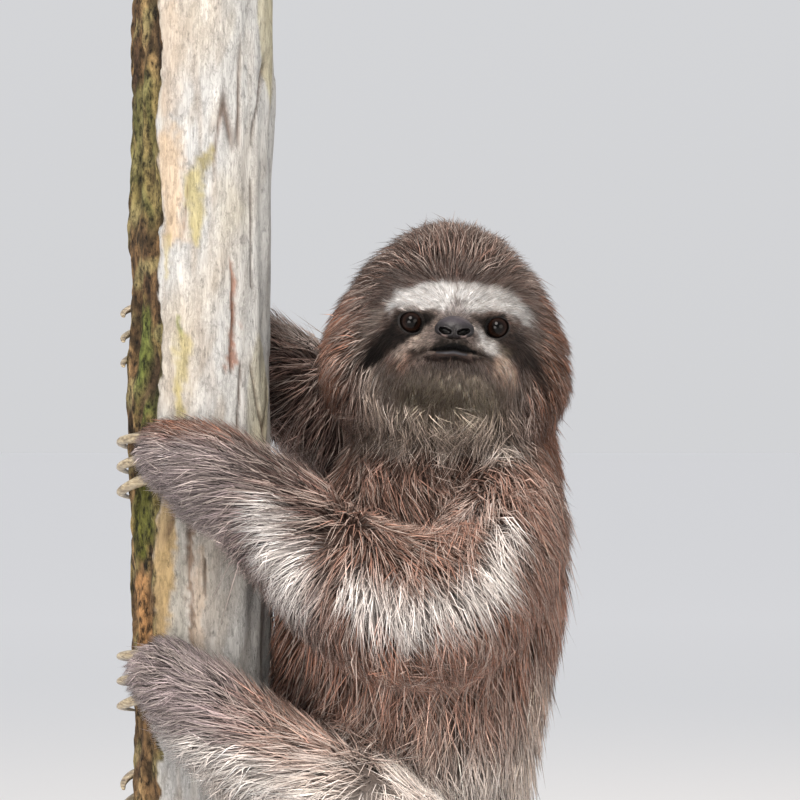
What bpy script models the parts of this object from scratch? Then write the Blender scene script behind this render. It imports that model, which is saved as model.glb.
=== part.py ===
"""Three-toed sloth clinging to a short cut length of trunk, on a plain display stand.

Metres, +Z up. The origin is the centre of the base's underside. The trunk stands on the -X side
with the belly against it, the back is towards +X, the left flank towards -Y, and the head is
turned to look along -Y. The solids give the outline out to the tips of the coat.
"""
import math

import bmesh
import bpy
import numpy as np
from mathutils import Matrix, Vector

GAP = 0.0003

# Trunk
TRUNK_X = -0.089
TRUNK_RADIUS = 0.0335
TRUNK_BOTTOM = 0.070
TRUNK_TOP = 0.668
TRUNK_RINGS = 9
TRUNK_SIDES = 20
TRUNK_WAVE = 0.0011
# Each wave round the trunk: its share, turns round the girth, turns per metre of height
TRUNK_WAVES = ((1.0, 3.0, 9.0), (0.7, 5.0, -17.0), (0.6, 1.0, 23.0))

# Stand
BASE_LENGTH = 0.300
BASE_WIDTH = 0.260
BASE_HEIGHT = 0.020
BASE_CORNER = 0.030
BASE_EDGE = 0.003
BASE_CORNER_SEGMENTS = 5
BASE_EDGE_SEGMENTS = 2
ROD_RADIUS = 0.006
ROD_SPACING = 0.034
ROD_DEPTH = 0.030
ROD_SUNK = 0.010
ROD_SIDES = 12

# Head: the centre of the hood of fur, its half sizes, and the middle between the eyes
HEAD_CENTRE = Vector((0.0204, -0.027, 0.4960))
HEAD_HALF = Vector((0.0600, 0.0530, 0.0545))
HEAD_ROLL = math.radians(3.6)
HEAD_MIDDLE_WIDTH = 0.937
HEAD_CROWN_TAPER = 0.21
HEAD_CHEEK_SPREAD = 0.30
FACE_FULLNESS = 0.55
HEAD_SIDES = 28
HEAD_RINGS = 15
HEAD_RING_SPREAD = 1.3
FACE_OFFSET = Vector((0.0024, 0.0, 0.0066))
EYE_HALF_SPACING = 0.0184
EYE_RADIUS = 0.0058
EYE_DEPTH = -0.0510
FACE_YAW_SHIFT = 0.0016
MUZZLE_DROP = 0.0050
MUZZLE_REACH = 0.0135
MUZZLE_WIDTH = 0.0150
MUZZLE_HEIGHT = 0.0120
CHIN_DROP = 0.0190
CHIN_REACH = 0.0060
SOCKET_DEPTH = 0.0038
SOCKET_SPREAD = 0.0075
BROW_RISE = 0.0130
BROW_REACH = 0.0020
BROW_HEIGHT = 0.0060
BROW_WIDTH = 0.0260
NOSE_DROP = 0.0024
NOSE_DEPTH = -0.0645
NOSE_HALF = Vector((0.0086, 0.0060, 0.0050))
NOSE_TILT = math.radians(-12.0)
BALL_SIDES = 12
BALL_RINGS = 8

# Stations along the spine: x, y, z, half width across, half depth from belly to back
SPINE = (
    (0.020, -0.004, 0.508, 0.037, 0.038),
    (0.028, 0.000, 0.466, 0.050, 0.046),
    (0.021, 0.000, 0.428, 0.060, 0.058),
    (0.014, 0.000, 0.392, 0.064, 0.0665),
    (0.008, 0.000, 0.350, 0.067, 0.0650),
    (0.004, 0.000, 0.305, 0.068, 0.0615),
    (0.001, 0.000, 0.258, 0.069, 0.0575),
    (-0.003, 0.000, 0.212, 0.067, 0.0510),
    (-0.007, 0.000, 0.174, 0.058, 0.0430),
)
SPINE_STEP = 0.5
SPINE_SIDES = 20
NECK_END = 1.35
THORAX_END = 4.0
ABDOMEN_END = 6.3

TAIL = (
    (0.004, 0.0, 0.180, 0.024, 0.020),
    (0.021, 0.0, 0.148, 0.021, 0.018),
    (0.034, 0.0, 0.122, 0.018, 0.015),
    (0.041, 0.0, 0.104, 0.014, 0.012),
)
TAIL_STEP = 0.75
TAIL_SIDES = 14

# Stations along each limb: x, y, z, half width, half height, from shoulder or hip to the
# knuckles. The bend is the elbow or knee and the wrist is the wrist or ankle.
LEFT_ARM = (
    (0.035, -0.046, 0.420, 0.043, 0.043),
    (0.026, -0.078, 0.392, 0.041, 0.041),
    (0.006, -0.093, 0.380, 0.038, 0.038),
    (-0.020, -0.088, 0.394, 0.035, 0.037),
    (-0.045, -0.073, 0.414, 0.031, 0.033),
    (-0.074, -0.058, 0.434, 0.025, 0.027),
    (-0.100, -0.047, 0.446, 0.018, 0.020),
)
RIGHT_ARM = (
    (0.034, 0.046, 0.432, 0.042, 0.042),
    (0.022, 0.076, 0.430, 0.040, 0.040),
    (0.000, 0.088, 0.440, 0.036, 0.036),
    (-0.024, 0.084, 0.457, 0.034, 0.034),
    (-0.046, 0.072, 0.475, 0.030, 0.032),
    (-0.074, 0.057, 0.494, 0.025, 0.027),
    (-0.097, 0.048, 0.506, 0.018, 0.020),
)
LEFT_LEG = (
    (0.014, -0.042, 0.222, 0.046, 0.046),
    (0.012, -0.074, 0.246, 0.044, 0.044),
    (0.000, -0.090, 0.268, 0.040, 0.040),
    (-0.022, -0.086, 0.289, 0.036, 0.036),
    (-0.048, -0.072, 0.307, 0.031, 0.032),
    (-0.080, -0.058, 0.331, 0.026, 0.028),
    (-0.104, -0.047, 0.350, 0.018, 0.021),
)
RIGHT_LEG = (
    (0.014, 0.042, 0.208, 0.046, 0.046),
    (0.012, 0.074, 0.228, 0.044, 0.044),
    (0.000, 0.090, 0.250, 0.040, 0.040),
    (-0.022, 0.086, 0.268, 0.036, 0.036),
    (-0.048, 0.072, 0.279, 0.031, 0.032),
    (-0.079, 0.058, 0.287, 0.027, 0.028),
    (-0.105, 0.047, 0.294, 0.019, 0.021),
)
LIMB_PLACES = (0.0, 2.5, 5.0, 6.0)
LIMB_OVERRUN = 0.15
BLOCK_SIZE = 0.16
LIMB_SIDES = 12
LIMB_STEP = 0.50

DOME_TURNS = (25.0, 48.0, 68.0)

# Claws: three on each hand and foot, laid round the bark
CLAW_ROOT_RADIUS = 0.0050
CLAW_TIP_RADIUS = 0.0009
CLAW_SPACING = 0.0112
CLAW_CLEAR = 0.0010
CLAW_LIFT = 0.0070
CLAW_DROOP = 0.0100
CLAW_FAN = 0.25
CLAW_FLATNESS = 0.70
CLAW_RINGS = 7
CLAW_SIDES = 6
NEAR_CLAW_START = math.radians(251.0)
NEAR_CLAW_SWEEP = math.radians(-100.0)
FAR_CLAW_START = math.radians(109.0)
FAR_CLAW_SWEEP = math.radians(80.0)

COLOURS = {
    "coat": (0.178, 0.130, 0.109),
    "coat_limb": (0.205, 0.150, 0.127),
    "nose": (0.040, 0.036, 0.038),
    "eye": (0.020, 0.011, 0.007),
    "claw": (0.210, 0.165, 0.110),
    "bark": (0.600, 0.565, 0.500),
    "base_wood": (0.115, 0.060, 0.032),
    "rod_steel": (0.550, 0.550, 0.560),
}
ROUGHNESS = {"nose": 0.45, "eye": 0.08, "claw": 0.40, "base_wood": 0.35, "rod_steel": 0.30}
METALLIC = {"rod_steel": 1.0}


def clear_scene():
    """Remove every object from the scene."""
    for item in list(bpy.data.objects):
        bpy.data.objects.remove(item, do_unlink=True)


def material(name):
    """Return the named finish, made on first use."""
    found = bpy.data.materials.get(name)
    if found:
        return found
    made = bpy.data.materials.new(name)
    made.use_nodes = True
    shader = made.node_tree.nodes["Principled BSDF"]
    shader.inputs["Base Color"].default_value = (*COLOURS[name], 1.0)
    shader.inputs["Roughness"].default_value = ROUGHNESS.get(name, 0.85)
    shader.inputs["Metallic"].default_value = METALLIC.get(name, 0.0)
    return made


def finish(name, bm, finish_name):
    """Turn a bmesh into a named, smooth-shaded object with its finish."""
    bm.normal_update()
    bmesh.ops.recalc_face_normals(bm, faces=bm.faces)
    if bm.calc_volume(signed=True) < 0.0:
        bmesh.ops.reverse_faces(bm, faces=bm.faces)
    mesh = bpy.data.meshes.new(name)
    bm.to_mesh(mesh)
    bm.free()
    mesh.shade_smooth()
    mesh.set_sharp_from_angle(angle=math.radians(50.0))
    mesh.materials.append(material(finish_name))
    item = bpy.data.objects.new(name, mesh)
    bpy.context.scene.collection.objects.link(item)
    return item


def reach(item):
    """Return the lowest and highest corners of an object's mesh."""
    points = np.array([vertex.co[:] for vertex in item.data.vertices])
    return points.min(axis=0), points.max(axis=0)


def cut(item, cutters, solver="EXACT"):
    """Take the cutters' space out of an object, then drop the cutters.

    The exact solver loses whole pieces of the rounded body, so those are cut by the manifold one.
    """
    for cutter in cutters:
        cutter.hide_render = True
        cutter.display_type = "WIRE"
        low, high = reach(item)
        cutter_low, cutter_high = reach(cutter)
        if np.all(low < cutter_high) and np.all(cutter_low < high):
            step = item.modifiers.new("cut", "BOOLEAN")
            step.operation = "DIFFERENCE"
            step.solver = solver
            step.object = cutter
            graph = bpy.context.evaluated_depsgraph_get()
            shaped = bpy.data.meshes.new_from_object(item.evaluated_get(graph))
            item.modifiers.clear()
            item.data = shaped
            keep_largest(item)
        bpy.data.objects.remove(cutter, do_unlink=True)


def keep_largest(item):
    """Keep only the largest connected piece of an object's mesh, without loose slivers."""
    bm = bmesh.new()
    bm.from_mesh(item.data)
    unseen = set(bm.verts)
    pieces = []
    while unseen:
        front = [unseen.pop()]
        piece = set(front)
        while front:
            vertex = front.pop()
            for edge in vertex.link_edges:
                other = edge.other_vert(vertex)
                if other in unseen:
                    unseen.remove(other)
                    piece.add(other)
                    front.append(other)
        pieces.append(piece)
    pieces.sort(key=len)
    for piece in pieces[:-1]:
        bmesh.ops.delete(bm, geom=list(piece), context="VERTS")
    bmesh.ops.triangulate(bm, faces=bm.faces)
    bm.to_mesh(item.data)
    bm.free()
    item.data.shade_smooth()
    item.data.set_sharp_from_angle(angle=math.radians(50.0))


def station_at(stations, place):
    """Read a smooth curve through the stations at a place counted in stations."""
    last = len(stations) - 1
    index = min(max(int(place), 0), last - 1)
    share = place - index
    corners = [stations[min(max(index + step, 0), last)] for step in (-1, 0, 1, 2)]
    before, here, there, after = (np.array(corner) for corner in corners)
    return here + 0.5 * share * (
        there - before
        + share * (2.0 * before - 5.0 * here + 4.0 * there - after
                   + share * (3.0 * (here - there) + after - before))
    )


def loft(stations, start, end, step, sides, across, grow=0.0, domes=(False, False)):
    """Sweep an ellipse along the stations from one place to another, closed at both ends.

    A flat end lies square to the path. A domed end carries on past its station as a dome.
    """
    count = max(int(math.ceil((end - start) / step)), 2)
    rings = []
    for index in range(count + 1):
        place = start + (end - start) * index / count
        reading = station_at(stations, place)
        ahead = station_at(stations, min(place + 0.05, len(stations) - 1.0))
        behind = station_at(stations, max(place - 0.05, 0.0))
        tangent = Vector(ahead[:3] - behind[:3]).normalized()
        side = (across - across.dot(tangent) * tangent).normalized()
        rings.append((Vector(reading[:3]), tangent, side, reading[3] + grow, reading[4] + grow))
    first, last = rings[0], rings[-1]
    if domes[0]:
        rings = [dome_ring(first, -turn) for turn in DOME_TURNS[::-1]] + rings
    elif grow > 0.0:
        rings.insert(0, (first[0] - first[1] * grow, *first[1:]))
    if domes[1]:
        rings = rings + [dome_ring(last, turn) for turn in DOME_TURNS]
    elif grow > 0.0:
        rings.append((last[0] + last[1] * grow, *last[1:]))
    bm = bmesh.new()
    loops = []
    for centre, tangent, side, wide, high in rings:
        up = tangent.cross(side)
        loop = []
        for corner in range(sides):
            angle = 2.0 * math.pi * corner / sides
            loop.append(bm.verts.new(centre + side * wide * math.cos(angle)
                                     + up * high * math.sin(angle)))
        loops.append(loop)
    for first, second in zip(loops, loops[1:]):
        for corner in range(sides):
            after = (corner + 1) % sides
            bm.faces.new((first[corner], first[after], second[after], second[corner]))
    bm.faces.new(loops[0][::-1])
    bm.faces.new(loops[-1])
    bmesh.ops.triangulate(bm, faces=bm.faces, quad_method="FIXED")
    return bm


def dome_ring(ring, turn):
    """Return a smaller ring past the end of a path, at a turn in degrees along its dome."""
    centre, tangent, side, wide, high = ring
    angle = math.radians(turn)
    ahead = tangent * min(wide, high) * math.sin(angle)
    return centre + ahead, tangent, side, wide * math.cos(angle), high * math.cos(angle)


def bell(distance, spread):
    """Return a smooth bump of height 1 that fades over the spread."""
    return math.exp(-0.5 * (distance / spread) ** 2)


def head_point(direction, grow):
    """Place one point of the head's outline from a unit direction in the head's own frame."""
    taper = HEAD_CROWN_TAPER if direction.z > 0.0 else HEAD_CHEEK_SPREAD
    wide = HEAD_HALF.x * (HEAD_MIDDLE_WIDTH - taper * direction.z)
    point = Vector((direction.x * wide, direction.y * HEAD_HALF.y, direction.z * HEAD_HALF.z))
    if direction.y < 0.0:
        point.y = -HEAD_HALF.y * (-direction.y) ** FACE_FULLNESS
        across = point.x - FACE_OFFSET.x
        above = point.z - FACE_OFFSET.z
        reach = MUZZLE_REACH * bell(across, MUZZLE_WIDTH) * bell(above + MUZZLE_DROP, MUZZLE_HEIGHT)
        reach += CHIN_REACH * bell(across, MUZZLE_WIDTH) * bell(above + CHIN_DROP, MUZZLE_HEIGHT)
        reach += BROW_REACH * bell(above - BROW_RISE, BROW_HEIGHT) * bell(across, BROW_WIDTH)
        for sign in (-1.0, 1.0):
            away = math.hypot(across - sign * EYE_HALF_SPACING, above)
            reach -= SOCKET_DEPTH * bell(away, SOCKET_SPREAD)
        point.y -= reach
    return point + direction * grow


def head_frame():
    """Return the matrix from the head's own frame to the model's."""
    return Matrix.Translation(HEAD_CENTRE) @ Matrix.Rotation(HEAD_ROLL, 4, "Y")


def head_mesh(grow=0.0):
    """Build the head: a rounded hood with its rings closest together round the face."""
    bm = bmesh.new()
    bmesh.ops.create_uvsphere(bm, u_segments=HEAD_SIDES, v_segments=HEAD_RINGS, radius=1.0)
    for vertex in bm.verts:
        polar = math.acos(max(-1.0, min(1.0, vertex.co.z)))
        turn = math.atan2(vertex.co.y, vertex.co.x)
        polar = math.pi * (polar / math.pi) ** HEAD_RING_SPREAD
        ring = math.sin(polar)
        direction = Vector((ring * math.cos(turn), -math.cos(polar), ring * math.sin(turn)))
        vertex.co = head_point(direction, grow)
    bm.transform(head_frame())
    return bm


def ball(centre, half, turn):
    """Build an ellipsoid in the head's frame, turned about its cross axis."""
    bm = bmesh.new()
    bmesh.ops.create_uvsphere(bm, u_segments=BALL_SIDES, v_segments=BALL_RINGS, radius=1.0)
    bm.transform(Matrix.Rotation(math.radians(90.0), 4, "X"))
    bm.transform(Matrix.Diagonal((*half, 1.0)))
    bm.transform(head_frame() @ Matrix.Translation(centre) @ Matrix.Rotation(turn, 4, "X"))
    return bm


def eye_mesh(sign, grow=0.0):
    """Build one eyeball."""
    depth = EYE_DEPTH + sign * FACE_YAW_SHIFT
    centre = Vector((FACE_OFFSET.x + sign * EYE_HALF_SPACING, depth, FACE_OFFSET.z))
    return ball(centre, [EYE_RADIUS + grow] * 3, 0.0)


def nose_mesh(grow=0.0):
    """Build the bare pad of the nose."""
    centre = Vector((FACE_OFFSET.x, NOSE_DEPTH, FACE_OFFSET.z - NOSE_DROP))
    return ball(centre, [size + grow for size in NOSE_HALF], NOSE_TILT)


def trunk_mesh(grow=0.0):
    """Build the cut length of trunk with flat sawn ends and a slightly uneven girth."""
    bm = bmesh.new()
    height = TRUNK_TOP - TRUNK_BOTTOM + 2.0 * grow
    bmesh.ops.create_cone(bm, cap_ends=True, cap_tris=False, segments=TRUNK_SIDES,
                          radius1=1.0, radius2=1.0, depth=height)
    bmesh.ops.translate(bm, verts=bm.verts, vec=(0.0, 0.0, 0.5 * (TRUNK_TOP + TRUNK_BOTTOM)))
    for ring in range(1, TRUNK_RINGS):
        level = TRUNK_BOTTOM - grow + height * ring / TRUNK_RINGS
        bmesh.ops.bisect_plane(bm, geom=bm.verts[:] + bm.edges[:] + bm.faces[:],
                               plane_co=(0.0, 0.0, level), plane_no=(0.0, 0.0, 1.0))
    for vertex in bm.verts:
        turn = math.atan2(vertex.co.y, vertex.co.x)
        level = vertex.co.z
        wave = sum(share * math.sin(round_turns * turn + rise * level)
                   for share, round_turns, rise in TRUNK_WAVES)
        girth = TRUNK_RADIUS + grow + TRUNK_WAVE * (wave - 1.0)
        vertex.co.x = TRUNK_X + girth * math.cos(turn)
        vertex.co.y = girth * math.sin(turn)
    return bm


def rod_mesh(side, grow=0.0):
    """Build one round rod from inside the base up into the trunk."""
    low = BASE_HEIGHT - ROD_SUNK
    high = TRUNK_BOTTOM + ROD_DEPTH
    bm = bmesh.new()
    bmesh.ops.create_cone(bm, cap_ends=True, cap_tris=False, segments=ROD_SIDES,
                          radius1=ROD_RADIUS + grow, radius2=ROD_RADIUS + grow,
                          depth=high - low + 2.0 * grow)
    centre = (TRUNK_X, side * ROD_SPACING / 2.0, 0.5 * (high + low))
    bmesh.ops.translate(bm, verts=bm.verts, vec=centre)
    return bm


def base_mesh():
    """Build the flat base with rounded corners and softened edges."""
    bm = bmesh.new()
    bmesh.ops.create_cube(bm, size=1.0)
    bmesh.ops.scale(bm, verts=bm.verts, vec=(BASE_LENGTH, BASE_WIDTH, BASE_HEIGHT))
    bmesh.ops.translate(bm, verts=bm.verts, vec=(0.0, 0.0, BASE_HEIGHT / 2.0))
    heights = {edge: [vertex.co.z for vertex in edge.verts] for edge in bm.edges}
    uprights = [edge for edge, (first, second) in heights.items()
                if abs(first - second) > 0.5 * BASE_HEIGHT]
    bmesh.ops.bevel(bm, geom=uprights, offset=BASE_CORNER, segments=BASE_CORNER_SEGMENTS,
                    affect="EDGES", profile=0.5)
    top = [edge for edge in bm.edges
           if all(vertex.co.z > 0.99 * BASE_HEIGHT for vertex in edge.verts)]
    bmesh.ops.bevel(bm, geom=top, offset=BASE_EDGE, segments=BASE_EDGE_SEGMENTS,
                    affect="EDGES", profile=0.5)
    return bm


def tool(bm):
    """Make a cutter from a bmesh."""
    return finish("cutter", bm, "coat")


ACROSS_SPINE = Vector((0.0, 1.0, 0.0))
ACROSS_LIMB = Vector((0.35, 0.0, 1.0))
SPINE_CUT = 0.010
SPINE_PARTS = {
    "neck": (0.0, NECK_END, (True, False)),
    "thorax": (NECK_END + SPINE_CUT, THORAX_END, (False, False)),
    "abdomen": (THORAX_END + SPINE_CUT, ABDOMEN_END, (False, False)),
    "rump": (ABDOMEN_END + SPINE_CUT, len(SPINE) - 1.0, (False, True)),
}


def spine_part(name, grow=0.0):
    """Build one named length of the body along the spine."""
    start, end, domes = SPINE_PARTS[name]
    return loft(SPINE, start, end, SPINE_STEP, SPINE_SIDES, ACROSS_SPINE, grow, domes)


def limb_part(stations, index):
    """Build one of the three lengths of a limb, counted from the body."""
    start = max(LIMB_PLACES[index] - LIMB_OVERRUN, 0.0)
    end = min(LIMB_PLACES[index + 1] + LIMB_OVERRUN, LIMB_PLACES[-1])
    domes = (index == 0, index == 2)
    return loft(stations, start, end, LIMB_STEP, LIMB_SIDES, ACROSS_LIMB, 0.0, domes)


def beyond_plane(stations, place, sign):
    """Build a block that fills the space on one side of the plane square to a limb."""
    ahead = Vector(station_at(stations, place + 0.05)[:3])
    behind = Vector(station_at(stations, place - 0.05)[:3])
    tangent = (ahead - behind).normalized()
    bm = bmesh.new()
    bmesh.ops.create_cube(bm, size=BLOCK_SIZE)
    bmesh.ops.translate(bm, verts=bm.verts, vec=(0.0, 0.0, sign * (BLOCK_SIZE - GAP) / 2.0))
    bm.transform(Matrix.Translation((ahead + behind) / 2.0)
                 @ tangent.to_track_quat("Z", "Y").to_matrix().to_4x4())
    return bm


def claw_mesh(stations, start, sweep, lane, grow=0.0):
    """Build one curved claw from inside the hand or foot round the bark."""
    tip = stations[-1]
    inner = TRUNK_RADIUS + CLAW_CLEAR
    path = []
    for index in range(CLAW_RINGS):
        share = index / (CLAW_RINGS - 1.0)
        girth = CLAW_ROOT_RADIUS + (CLAW_TIP_RADIUS - CLAW_ROOT_RADIUS) * share
        reach = inner + girth + CLAW_LIFT * (1.0 - min(share * 3.0, 1.0)) ** 2
        turn = start + sweep * share
        fan = 1.0 - CLAW_FAN * (1.0 - min(share * 2.0, 1.0))
        rise = lane * CLAW_SPACING * fan - CLAW_DROOP * share
        path.append((TRUNK_X + reach * math.cos(turn), reach * math.sin(turn), tip[2] + rise,
                     girth * CLAW_FLATNESS, girth))
    return loft(path, 0.0, CLAW_RINGS - 1.0, 1.0, CLAW_SIDES, Vector((0.0, 0.0, 1.0)), grow)


def build_head():
    """Build the head, both eyes and the nose."""
    head = finish("head", head_mesh(), "coat")
    cut(head, [tool(eye_mesh(-1.0, GAP)), tool(eye_mesh(1.0, GAP)), tool(nose_mesh(GAP))],
        "MANIFOLD")
    finish("eye_right", eye_mesh(-1.0), "eye")
    finish("eye_left", eye_mesh(1.0), "eye")
    finish("nose", nose_mesh(), "nose")


def build_spine():
    """Build neck, thorax, abdomen, rump and tail with thin cuts between them."""
    for name in SPINE_PARTS:
        piece = finish(name, spine_part(name), "coat")
        cut(piece, [tool(head_mesh(GAP)), tool(trunk_mesh(GAP))], "MANIFOLD")
    tail_mesh = loft(TAIL, 0.0, len(TAIL) - 1.0, TAIL_STEP, TAIL_SIDES, ACROSS_SPINE, 0.0,
                     (False, True))
    tail = finish("tail", tail_mesh, "coat")
    cut(tail, [tool(spine_part("rump", GAP)), tool(spine_part("abdomen", GAP))], "MANIFOLD")


def build_limb(side, parts, stations, start, sweep, with_head):
    """Build one limb in three lengths with its three claws, trimmed to its neighbours."""
    for index, part in enumerate(parts):
        piece = finish(f"{side}_{part}", limb_part(stations, index), "coat_limb")
        cutters = [tool(trunk_mesh(GAP))]
        if index < 2:
            cutters.extend(tool(spine_part(name, 2.0 * GAP)) for name in SPINE_PARTS)
            if with_head:
                cutters.append(tool(head_mesh(GAP)))
        if index > 0:
            cutters.append(tool(beyond_plane(stations, LIMB_PLACES[index], -1.0)))
        if index < 2:
            cutters.append(tool(beyond_plane(stations, LIMB_PLACES[index + 1], 1.0)))
        if index == 2:
            for lane in (-1.0, 0.0, 1.0):
                cutters.append(tool(claw_mesh(stations, start, sweep, lane, GAP)))
        cut(piece, cutters, "MANIFOLD")
    for number, lane in enumerate((-1.0, 0.0, 1.0), 1):
        claw = finish(f"{side}_{parts[-1]}_claw_{number}",
                      claw_mesh(stations, start, sweep, lane), "claw")
        cut(claw, [tool(trunk_mesh(GAP))])


def build_stand():
    """Build the trunk, the base and the two rods."""
    trunk = finish("perch", trunk_mesh(), "bark")
    cut(trunk, [tool(rod_mesh(-1.0, GAP)), tool(rod_mesh(1.0, GAP))])
    base = finish("stand_base", base_mesh(), "base_wood")
    cut(base, [tool(rod_mesh(-1.0, GAP)), tool(rod_mesh(1.0, GAP))])
    for number, side in enumerate((-1.0, 1.0), 1):
        finish(f"stand_rod_{number}", rod_mesh(side), "rod_steel")


clear_scene()
build_stand()
build_head()
build_spine()
ARM_PARTS = ("upper_arm", "forearm", "hand")
LEG_PARTS = ("thigh", "shin", "foot")
build_limb("left", ARM_PARTS, LEFT_ARM, NEAR_CLAW_START, NEAR_CLAW_SWEEP, True)
build_limb("right", ARM_PARTS, RIGHT_ARM, FAR_CLAW_START, FAR_CLAW_SWEEP, True)
build_limb("left", LEG_PARTS, LEFT_LEG, NEAR_CLAW_START, NEAR_CLAW_SWEEP, False)
build_limb("right", LEG_PARTS, RIGHT_LEG, FAR_CLAW_START, FAR_CLAW_SWEEP, False)
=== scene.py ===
"""Looks of a life-size three-toed sloth on a cut length of trunk, held by a plain display stand."""

import logging
import math
from collections.abc import Sequence
from dataclasses import dataclass
from enum import Enum

import bmesh
import bpy
import numpy as np
from bmesh.types import BMEdge, BMesh
from bpy.types import Material, Mesh, Node, NodeSocket, NodeTree, Object
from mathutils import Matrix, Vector
from mathutils.bvhtree import BVHTree
from mathutils.kdtree import KDTree


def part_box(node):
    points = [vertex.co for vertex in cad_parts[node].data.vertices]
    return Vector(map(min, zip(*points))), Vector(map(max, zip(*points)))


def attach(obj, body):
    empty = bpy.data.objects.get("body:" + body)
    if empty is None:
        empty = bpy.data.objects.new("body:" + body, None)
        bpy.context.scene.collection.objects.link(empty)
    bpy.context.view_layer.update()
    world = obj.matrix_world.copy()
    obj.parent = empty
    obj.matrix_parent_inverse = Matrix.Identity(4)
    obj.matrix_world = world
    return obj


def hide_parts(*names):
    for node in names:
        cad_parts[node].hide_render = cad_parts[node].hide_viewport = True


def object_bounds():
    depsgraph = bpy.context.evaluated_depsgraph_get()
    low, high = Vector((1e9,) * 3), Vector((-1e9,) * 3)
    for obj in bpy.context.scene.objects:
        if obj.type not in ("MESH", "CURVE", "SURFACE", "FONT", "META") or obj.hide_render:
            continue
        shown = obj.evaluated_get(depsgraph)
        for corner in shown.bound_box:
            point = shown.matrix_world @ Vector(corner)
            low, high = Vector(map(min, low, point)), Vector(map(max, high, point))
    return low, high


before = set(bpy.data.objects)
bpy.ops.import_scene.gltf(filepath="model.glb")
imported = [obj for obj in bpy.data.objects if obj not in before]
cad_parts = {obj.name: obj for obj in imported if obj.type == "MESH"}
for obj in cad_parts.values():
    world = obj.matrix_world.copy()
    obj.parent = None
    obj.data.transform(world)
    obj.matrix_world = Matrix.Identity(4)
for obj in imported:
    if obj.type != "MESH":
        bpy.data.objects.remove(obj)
CAD_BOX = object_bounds()
LOG = logging.getLogger("sloth")
MM = 0.001
ROOT = "root"
DOWN = np.array([0.0, 0.0, -1.0])
BAKE_MAP = "OFBake"
MARKING = "marking"
TOUCHING = 1e-5
COINCIDENT = 1e-6

Array = np.ndarray
Colour = tuple[float, float, float]


class Side(Enum):
    """The animal's two sides, by the sign of their place across the face."""

    RIGHT = -1.0
    LEFT = 1.0

    @property
    def word(self) -> str:
        """Return the side's name as it stands in the node names."""
        return self.name.lower()


class Region(Enum):
    """The pieces that the coat is made in, with the number of triangles for each.

    No two numbers are the same, because an Enum takes names with equal values as one.
    """

    FACE = 185000
    HOOD = 190001
    NECK = 110000
    LEFT_ARM = 195000
    RIGHT_ARM = 150000
    LEFT_LEG = 170000
    RIGHT_LEG = 130000
    THORAX = 150001
    ABDOMEN = 130001
    RUMP = 90000


class Strand(Enum):
    """The two shapes of a tuft, by the rings of three points below its tip."""

    STRAIGHT = 1
    BENT = 2

    @property
    def triangles(self) -> int:
        """Return the number of triangles of one tuft."""
        return 6 * self.value - 2

    @property
    def pattern(self) -> Array:
        """Return the triangles of one tuft, its base first and then side by side up to the tip."""
        faces = [(0, 2, 1)]
        for corner in range(3):
            after = (corner + 1) % 3
            for low in range(0, 3 * (self.value - 1), 3):
                faces.append((low + corner, low + after, low + 3 + after))
                faces.append((low + corner, low + 3 + after, low + 3 + corner))
            top = 3 * (self.value - 1)
            faces.append((top + corner, top + after, top + 3))
        return np.array(faces)


# ---------- small helpers


def linear(code: str) -> Colour:
    """Turn an sRGB hex value into linear colour.

    Args:
        code: Six hex digits after a hash sign.

    Returns:
        Red, green and blue from 0 to 1.
    """
    parts = [int(code[place:place + 2], 16) / 255.0 for place in (1, 3, 5)]
    return tuple(part / 12.92 if part <= 0.04045 else ((part + 0.055) / 1.055) ** 2.4 for part in parts)


def bell(distance: Array, spread: float) -> Array:
    """Return a smooth bump of height 1 that fades over the spread."""
    return np.exp(-0.5 * (distance / spread) ** 2)


def ease(value: Array, low: float, high: float) -> Array:
    """Return 0 below low, 1 above high and a smooth rise between them."""
    share = np.clip((value - low) / (high - low), 0.0, 1.0)
    return share * share * (3.0 - 2.0 * share)


def blend(first: Array, second: Array, share: Array) -> Array:
    """Mix two arrays of points or colours by a share for each row."""
    return first + (second - first) * share[:, None]


def rows(code: str, count: int) -> Array:
    """Return a hex colour as linear colour, in one row for each of some points."""
    return np.tile(np.array(linear(code)), (count, 1))


def lay(ground: Array, layers: Sequence[tuple[Array, str]]) -> Array:
    """Lay colours over each other.

    Args:
        ground: The lowest colour, one row a point.
        layers: How strong each layer is at each point, and its hex colour.

    Returns:
        The mixed colour of each point.
    """
    for weight, code in layers:
        ground = blend(ground, rows(code, 1), np.clip(weight, 0.0, 1.0))
    return ground


def unit(vectors: Array) -> Array:
    """Return the vectors at a length of 1."""
    return vectors / np.maximum(np.linalg.norm(vectors, axis=-1, keepdims=True), 1e-9)


def drift(points: Array, size: float, seed: int, waves: int = 7) -> Array:
    """Return a soft random field from about -1 to 1.

    Args:
        points: Places in metres, one a row.
        size: Rough distance between swells.
        seed: Number that picks the field.
        waves: How many sine waves are summed.

    Returns:
        One value for each point.
    """
    draw = np.random.default_rng(seed)
    total = np.zeros(len(points))
    for _ in range(waves):
        way = unit(draw.normal(size=points.shape[1]))
        rate = 2.0 * math.pi / (size * draw.uniform(0.7, 1.5))
        total += np.sin(points @ way * rate + draw.uniform(0.0, 2.0 * math.pi))
    return total / math.sqrt(waves)


def fibres(points: Array, squeeze: float, size: float, seed: int, waves: int = 7) -> Array:
    """Return a soft random field whose heights are squeezed first, so that it runs along a trunk."""
    return drift(points * (1.0, 1.0, squeeze), size, seed, waves)


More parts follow.
